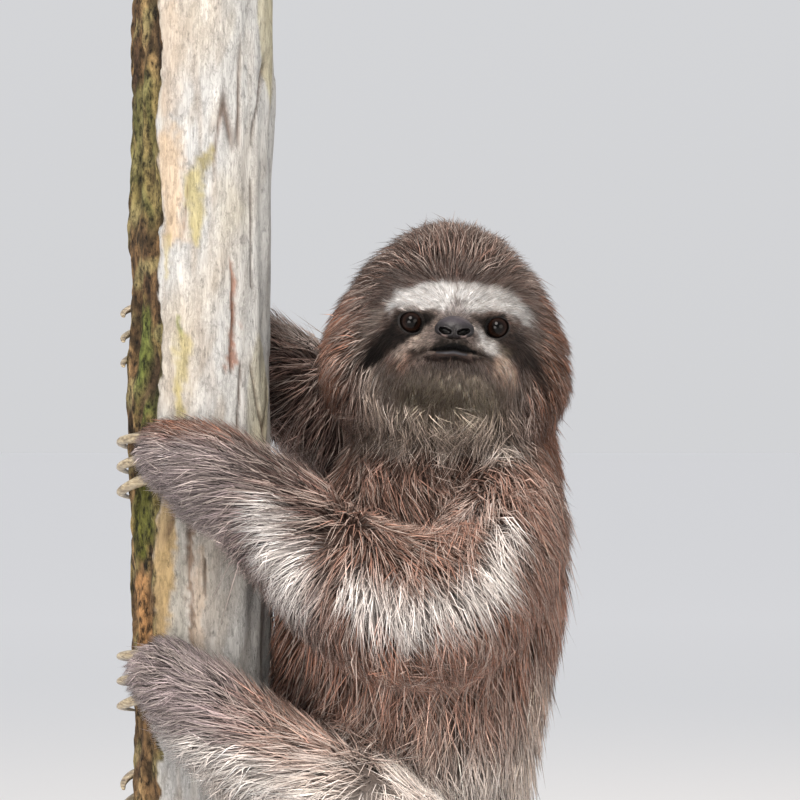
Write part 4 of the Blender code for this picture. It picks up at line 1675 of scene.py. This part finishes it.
@dataclass
class NosePad:
    """The bare pad of the nose with its comma-shaped nostrils, in millimetres in the head's frame."""

    face: Face
    nostril: tuple = ((2.3, -1.4, 0.9), (4.0, -1.1, 1.35), (5.5, -0.5, 0.9))
    rim: tuple = ((3.4, -3.2, 0.35), (4.8, -2.9, 0.4))
    pit: float = 5.0
    flat: float = 0.55

    def build(self) -> None:
        """Make the pad."""
        low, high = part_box("nose")
        half = np.array([(high.x - low.x) / 2.0, (high.z - low.z) / 2.0, (high.y - low.y) / 2.0]) / MM
        middle = self.face.head.inward(centre("nose")) / MM
        bm = bmesh.new()
        bmesh.ops.create_uvsphere(bm, u_segments=120, v_segments=80, radius=1.0)
        pad = show("nose_pad", bm)
        across, ahead, up = coordinates(pad.data).T
        ahead = -ahead
        front = np.clip(ahead, 0.0, 1.0)
        out = np.where(ahead > 0.0, front ** self.flat, ahead) * half[2]
        u = across * half[0] * (1.0 - 0.16 * up - 0.10 * bell(up + 1.0, 0.5))
        v = up * half[1] * 1.08 + 0.3
        facing = ease(ahead, 0.05, 0.35)
        out -= (0.16 * np.maximum(v, 0.0) + 0.05 * np.abs(u)) * facing
        hole = stroke(np.abs(u), v, self.nostril, 0.35) * facing
        lip = stroke(np.abs(u), v, [(x, y, width + 1.1) for x, y, width in self.nostril], 0.7) * facing
        groove = bell(u, 0.55) * (1.0 - ease(v, -0.5, 2.0)) * facing
        out += 0.45 * lip - self.pit * hole - 0.5 * groove
        places = np.stack([u, v, out], axis=1) + middle
        place(pad.data, self.face.head.outward(places * MM))
        rim = 0.6 * stroke(np.abs(u), v, self.rim, 0.8)
        # Painted light and shade on the pad: the top lighter as painted sheen, the lower part darker as
        # painted shade, the pink rims under the nostrils partly painted highlight, and the groove and the
        # nostril pits darkened as painted shade.
        layers = ((ease(v, 0.8, 4.4), "#3b363b"), (ease(-v, 2.6, 4.4), "#1c1716"), (rim, "#93807c"),
                  (0.6 * groove, "#171314"), (hole, "#050303"))
        paint(pad.data, MARKING, lay(rows("#191618", len(u)), layers))
        leather = Rhinarium("moist_nose_leather", roughness=0.40, ior=1.42, specular=0.4)
        pad.data.materials.append(leather.build())
        hand_in(pad, "nose_skin", "nose")


@dataclass(frozen=True)
class Horn(Finish):
    """Claw horn: dull yellow-grey keratin with fine lengthwise streaks, smooth from use."""

    streak_mm: float = 0.9
    depth_mm: float = 0.15

    def build(self) -> Material:
        """Return the material."""
        recipe = self.start()
        streak = recipe.noise(self.streak_mm, 4.0, where=recipe.stretched((0.22, 0.22, 1.0))).outputs["Fac"]
        shade = recipe.ramp(streak, (0.30, "#5d4f3e"), (0.50, "#9a8a6f"), (0.72, "#c2b598"))
        recipe.give("Base Color", shade)
        recipe.bump(streak, 0.25, self.depth_mm)
        return recipe.made


@dataclass
class Claws:
    """The hooked claws, three on each limb, rounded from their CAD solids."""

    rounding: int = 2

    def build(self) -> None:
        """Make every claw."""
        material = Horn("claw_horn", roughness=0.42, ior=1.55, specular=0.4).build()
        for node in sorted(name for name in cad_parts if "_claw_" in name):
            claw = show(f"{node}_horn", merged(node))
            soft = claw.modifiers.new("round", "SUBSURF")
            soft.levels = soft.render_levels = self.rounding
            claw.data.materials.append(material)
            hand_in(claw, "claw", node)


# ---------- perch and stand


@dataclass(frozen=True)
class Bark(Finish):
    """Weathered dead bark and bare wood: dry, matt and fissured, with moss and lichen."""

    grain_mm: float = 0.8
    fleck_mm: float = 2.2
    plate_mm: float = 6.0
    warp: float = 0.010
    ring_mm: float = 2.1
    depth_mm: float = 0.6

    def plates(self, recipe: Recipe, places: NodeSocket, stir: NodeSocket) -> NodeSocket:
        """Return the distance to the seams between the bark's small plates.

        Args:
            recipe: The material in the making.
            places: Places along the bark.
            stir: Colour that bends the seams.

        Returns:
            The distance, 0 at a seam.
        """
        settings = {"data_type": "VECTOR", 0: self.warp}
        bent = add_node(recipe.tree, "ShaderNodeMix", settings, {4: places, 5: stir}).outputs[1]
        settings = {"feature": "DISTANCE_TO_EDGE", "Scale": 1.0 / (self.plate_mm * MM)}
        return add_node(recipe.tree, "ShaderNodeTexVoronoi", settings, {"Vector": bent}).outputs["Distance"]

    def rings(self, recipe: Recipe) -> NodeSocket:
        """Return the year rings on the sawn ends, read by the distance from the pith."""
        out = add_node(recipe.tree, "ShaderNodeCombineXYZ", None, {"X": recipe.stored("pith")})
        settings = {"Scale": math.pi / (10.0 * self.ring_mm * MM), "Distortion": 1.6, "Detail": 2.0}
        links = {"Vector": out.outputs["Vector"]}
        return add_node(recipe.tree, "ShaderNodeTexWave", settings, links).outputs["Fac"]

    def build(self) -> Material:
        """Return the material, coloured by the marking stored on the trunk, with rings on its sawn ends."""
        recipe = self.start()
        grain = recipe.noise(self.grain_mm, 6.0, 0.62, recipe.stretched((1.0, 1.0, 0.16))).outputs["Fac"]
        long_places = recipe.stretched((1.0, 1.0, 0.45))
        fleck = recipe.noise(self.fleck_mm, 5.0, 0.7, long_places)
        flecks = fleck.outputs["Fac"]
        away = self.plates(recipe, recipe.stretched((1.0, 1.0, 0.5), long_places), fleck.outputs["Color"])
        dark = recipe.ranged(flecks, 0.55, 1.0, 0.30, 0.46)
        fine = recipe.ranged(grain, 0.70, 1.22, 0.25, 0.75)
        sound = recipe.product(recipe.product(dark, fine), recipe.ranged(away, 0.76, 1.0, 0.0, 0.12))
        crumbled = recipe.product(sound, recipe.ranged(flecks, 0.16, 1.65, 0.36, 0.60))
        bark = recipe.between(recipe.stored("rot"), sound, crumbled)
        shade = recipe.between(recipe.stored("sawn"), bark, recipe.ranged(self.rings(recipe), 0.72, 1.08))
        recipe.give("Base Color", recipe.tinted(shade))
        recipe.bump(bark, 0.7, self.depth_mm)
        return recipe.made


@dataclass
class Perch:
    """A short cut length of old trunk: pale bark with a rotten, mossy strip down one side."""

    trunk: Trunk
    turns: int = 220
    levels: int = 300
    cap_rings: int = 10
    proud: float = 0.4
    chamfer: float = 0.0012

    def blank(self) -> Object:
        """Return a closed round blank between the trunk's two sawn ends."""
        radius, (low, high) = self.trunk.radius, self.trunk.ends
        caps = [radius * step / self.cap_rings for step in range(self.cap_rings + 1)]
        profile = [(far, high) for far in caps]
        profile += [(radius, high + (low - high) * step / self.levels) for step in range(1, self.levels)]
        profile += [(far, low) for far in reversed(caps)]
        bm = bmesh.new()
        corners = [bm.verts.new((far, 0.0, level)) for far, level in profile]
        edges = [bm.edges.new(pair) for pair in zip(corners, corners[1:])]
        bmesh.ops.spin(bm, geom=corners + edges, cent=(0.0, 0.0, 0.0), axis=(0.0, 0.0, 1.0),
                       dvec=(0.0, 0.0, 0.0), angle=2.0 * math.pi, steps=self.turns, use_merge=True,
                       use_normal_flip=False, use_duplicate=False)
        bmesh.ops.remove_doubles(bm, verts=bm.verts, dist=COINCIDENT)
        bmesh.ops.recalc_face_normals(bm, faces=bm.faces)
        bmesh.ops.translate(bm, verts=bm.verts, vec=(*self.trunk.axis, 0.0))
        return show("perch_bark", bm)

    def outline(self, turn: Array, level: Array) -> Array:
        """Return the radius of the CAD trunk.

        Args:
            turn: Angles from the front.
            level: Heights above the floor.

        Returns:
            The radius at each of them.
        """
        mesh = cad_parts["perch"].data
        tree = BVHTree.FromPolygons([vertex.co[:] for vertex in mesh.vertices],
                                    [tuple(face.vertices) for face in mesh.polygons])
        low, high = self.trunk.ends[0] + 0.5 * MM, self.trunk.ends[1] - 0.5 * MM
        outside = 2.0 * self.trunk.radius
        found = np.empty(len(turn))
        for number, (angle, rise) in enumerate(zip(turn.tolist(), level.tolist())):
            way = Vector((math.sin(angle), -math.cos(angle), 0.0))
            start = Vector((*self.trunk.axis, min(max(rise, low), high))) + outside * way
            found[number] = outside - tree.ray_cast(start, -way)[3]
        return found

    def relief(self, points: Array, around: Array, height: Array, rotten: Array) -> tuple[Array, Array]:
        """Return the bark's ridges, plates and cracks, in millimetres.

        Args:
            points: Places on the trunk.
            around: Distance round from the front, in millimetres.
            height: Height above the floor, in millimetres.
            rotten: 1 on the rotten strip.

        Returns:
            How far the bark stands out, and 1 in a crack.
        """
        ridge = fibres(points, 1.0 / 9.0, 0.0075, 21, 11)
        swell = fibres(points, 0.35, 0.030, 22)
        split = bell(fibres(points, 1.0 / 7.0, 0.020, 23, 9), 0.07)
        split = split * ease(fibres(points, 0.4, 0.045, 24), 0.1, 0.6)
        plates = ease(fibres(points, 0.6, 0.016, 25, 9), -0.05, 0.12)
        flaky = ease(drift(points, 0.09, 26), -0.2, 0.6)
        named = stroke(around, height, ((17, 531, 0.4), (18.4, 507, 1), (16.4, 482, 0.4)), 0.5)
        named = np.maximum(named, stroke(around, height, ((28.4, 566, 0.3), (28.8, 520, 0.5)), 0.5))
        named = np.maximum(named, stroke(around, height, ((4, 400, 0.3), (3.6, 384, 0.4)), 0.4))
        named = np.maximum(named, stroke(around, height, ((-26, 402, 2.6), (-28, 380, 1.2)), 1.2))
        crack = np.maximum(split, named)
        out = -0.5 + 0.35 * ridge * (1.0 + 2.2 * rotten) + 0.3 * swell + 0.55 * plates * flaky - 1.9 * crack
        out -= 1.1 * rotten + 1.2 * rotten * bell(ridge + 0.9, 0.5)
        out += 0.45 * rotten * fibres(points, 0.5, 0.0045, 43, 9)
        return np.minimum(out, self.proud), crack

    def colours(self, points: Array, around: Array, height: Array, rotten: Array, crack: Array,
                out: Array) -> Array:
        """Return the colour of each place on the bark, with painted shade where it sinks deepest.

        Args:
            points: Places on the trunk.
            around: Distance round from the front, in millimetres.
            height: Height above the floor, in millimetres.
            rotten: 1 on the rotten strip.
            crack: 1 in a crack.
            out: How far the bark stands out, in millimetres.

        Returns:
            One row of linear colour for each place.
        """
        s = around + 1.2 * drift(points, 0.014, 31) + 1.0 * drift(points, 0.005, 36)
        z = height + 3.0 * drift(points, 0.020, 32) + 2.0 * drift(points, 0.006, 37)
        streak = fibres(points, 1.0 / 9.0, 0.006, 33, 9)
        lichen = ease(fibres(points, 0.5, 0.032, 34, 9), 0.55, 0.95) * (1.0 - bell(s, 26.0))
        layers = [
            (ease(fibres(points, 0.4, 0.05, 35), 0, 1.2), "#aaa399"),
            (0.55 * ease(streak, 0.3, 1.6), "#9a9188"),
            (0.45 * ease(fibres(points, 0.45, 0.008, 41, 9), 0.3, 1.2), "#8f8578"),
            (0.35 * ease(fibres(points, 0.6, 0.011, 42, 9), 0.4, 1.3), "#d2cfca"),
            (0.5 * ease(s, 6, 22), "#adadab"),
            (0.75 * stroke(s, z, ((-15, 582, 7), (-13, 545, 6.5)), 4), "#b39c80"),
            (0.5 * stroke(s, z, ((-14, 640, 7), (-16, 600, 7)), 5), "#ae9d8b"),
            (0.35 * (1.0 - ease(z, 395, 430)), "#8a8784"),
            (0.75 * lichen, "#a39a72"),
            (0.85 * stroke(s, z, ((-2, 570, 4), (-1, 545, 3.4)), 2.2), "#9f9569"),
            (0.80 * stroke(s, z, ((4, 576, 2.2), (4, 570, 2)), 1.6), "#83784a"),
            (0.75 * stroke(s, z, ((-7, 494, 4.2), (-9, 480, 3)), 2.4), "#9c9162"),
            (0.80 * stroke(s, z, ((-8.6, 505, 1.8), (-8, 495, 1.6)), 1.2), "#737644"),
            (0.65 * stroke(s, z, ((-15.8, 542, 1.6), (-16.2, 522, 1.8)), 1.6), "#a2966a"),
            (0.75 * stroke(s, z, ((-9, 476, 2.2), (-8, 466, 3)), 2), "#9b8f59"),
            (0.80 * stroke(s, z, ((-14.5, 436, 4.5), (-17, 400, 5.5), (-18, 362, 3.5)), 2.2), "#93794a"),
            (0.60 * stroke(s, z, ((-9, 432, 2), (-8, 360, 2.2)), 1.5), "#8c8a83"),
            (0.80 * stroke(s, z, ((-2, 440, 0.9), (-3.4, 400, 1.2), (-2.4, 356, 1)), 0.9), "#695342"),
            (0.60 * stroke(s, z, ((1.5, 400, 1.8), (0, 358, 3)), 1.6), "#ab9987"),
            (rotten, "#5c4730"),
            (rotten * ease(streak, 0, 1.3), "#8b7250"),
            (rotten * ease(-streak, 0.2, 1.4), "#33261a"),
            (0.8 * rotten * ease(fibres(points, 0.5, 0.007, 38, 9), 0.35, 1), "#2b2216"),
            (0.7 * rotten * ease(fibres(points, 0.5, 0.009, 39, 9), 0.45, 1.1), "#7d7350"),
            (0.5 * rotten * ease(fibres(points, 0.4, 0.040, 40), 0.1, 0.9), "#5a5c34"),
            (0.9 * stroke(s, z, ((-33, 505, 6), (-30, 466, 6.5)), 4), "#4b5426"),
            (0.9 * stroke(s, z, ((-36, 436, 8), (-34, 406, 7.5)), 4.5), "#4c4e1e"),
            (0.8 * stroke(s, z, ((-36, 384, 6), (-29, 368, 6)), 4), "#97714a"),
            (0.8 * crack, "#5b4638"),
            (0.8 * stroke(s, z, ((17, 530, 1), (18.4, 507, 1.8), (16.4, 482, 1)), 1.2), "#8a6250"),
            # Painted shade: the bark goes near-black where it sinks deepest.
            (0.8 * ease(-out, 2.6, 4.4), "#261c14"),
        ]
        return lay(rows("#a7a7a6", len(s)), layers)

    def build(self) -> None:
        """Make the trunk."""
        trunk = self.blank()
        points = coordinates(trunk.data)
        radius, axis, (lowest, highest) = self.trunk.radius, np.array(self.trunk.axis), self.trunk.ends
        flat = points[:, :2] - axis
        far = np.linalg.norm(flat, axis=1)
        turn = np.arctan2(flat[:, 0], -flat[:, 1])
        around, height = turn * radius / MM, points[:, 2] / MM
        cut = (points[:, 2] > highest - TOUCHING) | (points[:, 2] < lowest + TOUCHING)
        sawn = np.where(cut, 1.0, 0.0)
        edge = -20.5 + 1.6 * drift(points * (0.0, 0.0, 1.0), 0.045, 28) + 1.0 * drift(points, 0.010, 29)
        rotten = (1.0 - ease(around, edge - 1.0, edge + 1.0)) * ease(around, -78.0, -66.0)
        out, crack = self.relief(points, around, height, rotten)
        shape = self.outline(turn, points[:, 2]) + out * MM
        shape = shape - self.chamfer * sawn * ease(far, radius * 0.9, radius)
        reach = np.where(far < radius * 0.999, far / radius * shape, shape)
        moved = points.copy()
        moved[:, 0] = axis[0] + np.sin(turn) * reach
        moved[:, 1] = axis[1] - np.cos(turn) * reach
        place(trunk.data, moved)
        shade = self.colours(points, around, height, rotten, crack, out)
        bare_wood = sawn * (1.0 - ease(far, radius * 0.93, radius))
        paint(trunk.data, MARKING, blend(shade, rows("#b99b74", len(points)), bare_wood))
        paint(trunk.data, "sawn", sawn)
        paint(trunk.data, "rot", rotten)
        paint(trunk.data, "pith", reach)
        trunk.data.materials.append(Bark("weathered_bark", roughness=0.86, ior=1.5, specular=0.25).build())
        hand_in(trunk, "bark", "perch")


@dataclass(frozen=True)
class OiledOak(Finish):
    """Dark oiled oak board: open straight grain along its length, a low silky shine."""

    grain_mm: float = 1.4
    band_mm: float = 12.0
    depth_mm: float = 0.2

    def build(self) -> Material:
        """Return the material."""
        recipe = self.start()
        along = recipe.stretched((0.05, 1.0, 0.8))
        band = recipe.noise(self.band_mm, 3.0, where=along).outputs["Fac"]
        grain = recipe.noise(self.grain_mm, 5.0, 0.65, along).outputs["Fac"]
        shade = recipe.raised(grain, 0.55, band)
        recipe.give("Base Color", recipe.ramp(shade, (0.50, "#2a1a10"), (0.74, "#523622"), (0.95, "#6f4c31")))
        recipe.bump(grain, 0.2, self.depth_mm)
        return recipe.made


@dataclass(frozen=True)
class BrushedSteel(Finish):
    """Ground stainless steel bar: grey metal with fine marks that soften its reflections."""

    mark_mm: float = 1.2

    def build(self) -> Material:
        """Return the material."""
        recipe = self.start()
        mark = recipe.noise(self.mark_mm, 3.0, where=recipe.stretched((1.0, 1.0, 12.0))).outputs["Fac"]
        recipe.give("Roughness", recipe.ranged(mark, 0.24, 0.42))
        recipe.give("Base Color", recipe.ramp(mark, (0.3, "#a9abad"), (0.7, "#c4c6c7")))
        return recipe.made


@dataclass
class Stand:
    """The plain display stand: a rounded board and two bars that hold the trunk up."""

    corner: float = 30.0
    edge: float = 3.0
    bar_sides: int = 64
    bar_edge: float = 0.6
    sharp: float = math.radians(40.0)

    def board(self) -> Object:
        """Return the board, with round corners and a rounded upper edge."""
        low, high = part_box("stand_base")
        size, middle = high - low, (high + low) / 2.0
        bm = bmesh.new()
        bmesh.ops.create_cube(bm, size=1.0)
        bmesh.ops.scale(bm, verts=bm.verts, vec=size)
        bmesh.ops.translate(bm, verts=bm.verts, vec=middle)
        uprights = [edge for edge in bm.edges if abs(edge.verts[0].co.z - edge.verts[1].co.z) > 0.5 * size.z]
        round_edges(bm, uprights, self.corner * MM, 20)
        top = [edge for edge in bm.edges if all(vertex.co.z > high.z - TOUCHING for vertex in edge.verts)]
        round_edges(bm, top, self.edge * MM, 5)
        return show("stand_board", bm)

    def bar(self, node: str) -> Object:
        """Return one round bar with its two ends' edges broken."""
        low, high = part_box(node)
        radius = (high.x - low.x) / 2.0
        bm = bmesh.new()
        bmesh.ops.create_cone(bm, cap_ends=True, cap_tris=False, segments=self.bar_sides,
                              radius1=radius, radius2=radius, depth=high.z - low.z)
        ends = [edge for edge in bm.edges if abs(edge.verts[0].co.z - edge.verts[1].co.z) < COINCIDENT]
        round_edges(bm, ends, self.bar_edge * MM, 2)
        bmesh.ops.translate(bm, verts=bm.verts, vec=(low + high) / 2.0)
        return show(f"{node}_bar", bm)

    def build(self) -> None:
        """Make the board and the bars."""
        board = self.board()
        board.data.set_sharp_from_angle(angle=self.sharp)
        board.data.materials.append(OiledOak("oiled_oak", roughness=0.45, ior=1.5, specular=0.4).build())
        hand_in(board, "base_wood", "stand_base")
        steel = BrushedSteel("ground_steel", roughness=0.32, metallic=1.0).build()
        for node in sorted(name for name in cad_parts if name.startswith("stand_rod_")):
            bar = self.bar(node)
            bar.data.set_sharp_from_angle(angle=self.sharp)
            bar.data.materials.append(steel)
            hand_in(bar, "rod_steel", node)


# ---------- studio


@dataclass
class Studio:
    """Pale floor, soft lights and the camera."""

    lens: float = 160.0
    sensor: float = 36.0
    eye_level: float = 0.47
    stand_off: float = 1.6
    room_low: float = 0.668
    room_high: float = 0.79

    def camera(self) -> None:
        """Set the camera level with the head, in front of the face."""
        data = bpy.data.cameras.new("camera")
        data.lens = self.lens
        data.sensor_width = self.sensor
        data.clip_start, data.clip_end = 0.05, 60.0
        item = bpy.data.objects.new("camera", data)
        item.location = (0.0, -self.stand_off, self.eye_level)
        item.rotation_euler = (math.radians(90.0), 0.0, 0.0)
        bpy.context.scene.collection.objects.link(item)
        bpy.context.scene.camera = item

    def lamp(self, name: str, place_at: tuple, target_height: float, size: float, power: float,
             code: str) -> None:
        """Hang one soft round lamp that looks at the middle of the model.

        Args:
            name: The lamp's name.
            place_at: Where it hangs.
            target_height: The height that it looks at.
            size: Its diameter in metres.
            power: Its power in watts.
            code: Its hex colour.
        """
        data = bpy.data.lights.new(name, "AREA")
        data.shape = "DISK"
        data.size = size
        data.energy = power
        data.color = linear(code)
        item = bpy.data.objects.new(name, data)
        item.location = place_at
        way = Vector((0.0, 0.0, target_height)) - Vector(place_at)
        item.rotation_euler = way.to_track_quat("-Z", "Y").to_euler()
        bpy.context.scene.collection.objects.link(item)

    def sky(self) -> None:
        """Light the room evenly, a little less at the height of the floor's far edge."""
        world = bpy.data.worlds.new("soft_room")
        world.use_nodes = True
        tree = world.node_tree
        spot = add_node(tree, "ShaderNodeTexCoord")
        split = add_node(tree, "ShaderNodeSeparateXYZ", None, {"Vector": spot.outputs["Generated"]})
        rise = add_node(tree, "ShaderNodeMapRange", {"To Min": self.room_low, "To Max": self.room_high},
                        {"Value": split.outputs["Z"]})
        shade = tree.nodes["Background"]
        shade.inputs["Color"].default_value = (*linear("#fbfcff"), 1.0)
        tree.links.new(rise.outputs["Result"], shade.inputs["Strength"])
        bpy.context.scene.world = world

    def build(self) -> None:
        """Make the floor, the lights, the surroundings and the camera."""
        self.camera()
        bpy.context.scene.view_settings.view_transform = "Standard"
        self.lamp("key_lamp", (-0.4, -1.9, 2.0), 0.42, 1.2, 62.0, "#fff8f0")
        self.lamp("fill_lamp", (1.5, -1.9, 0.7), 0.42, 1.6, 25.0, "#fff3e4")
        self.lamp("low_lamp", (-0.9, -1.9, 0.25), 0.42, 1.2, 34.0, "#fff8f0")
        self.lamp("rim_lamp", (0.7, 1.8, 2.2), 0.45, 1.2, 18.0, "#ffe6cc")
        self.sky()
        bm = bmesh.new()
        bmesh.ops.create_grid(bm, x_segments=1, y_segments=1, size=30.0)
        floor = show("floor", bm, False)
        floor.data.materials.append(Floor("matt_pale_floor", roughness=0.9).build())


@dataclass(frozen=True)
class Floor(Finish):
    """Matt painted board: pale and without gloss, a little greyer under the lamps so that it looks even."""

    far: float = 6.0

    def build(self) -> Material:
        """Return the material, coloured by the distance from the middle of the room."""
        recipe = self.start()
        away = add_node(recipe.tree, "ShaderNodeVectorMath", {"operation": "LENGTH"}, {0: recipe.places})
        share = recipe.ranged(away.outputs["Value"], 0.0, 1.0, 0.0, self.far)
        recipe.give("Base Color", recipe.ramp(share, (0.05, "#dadbdd"), (0.35, "#e5e6e7"), (1.0, "#f2f2f3")))
        return recipe.made


def main() -> None:
    """Build every piece in order."""
    face = Face.on(HeadFrame.between_eyes())
    trunk = Trunk.measured()
    skin = Skin(face, Markings(face), trunk)
    hide = skin.build()
    hand_in(hide, "coat", *FLESH)
    Coat(skin, Flow(face), hide).build()
    Eyes(face).build()
    NosePad(face).build()
    Claws().build()
    Perch(trunk).build()
    Stand().build()
    Studio().build()


if __name__ == "__main__":
    logging.basicConfig(level=logging.INFO, format="%(name)s: %(message)s")
    main()
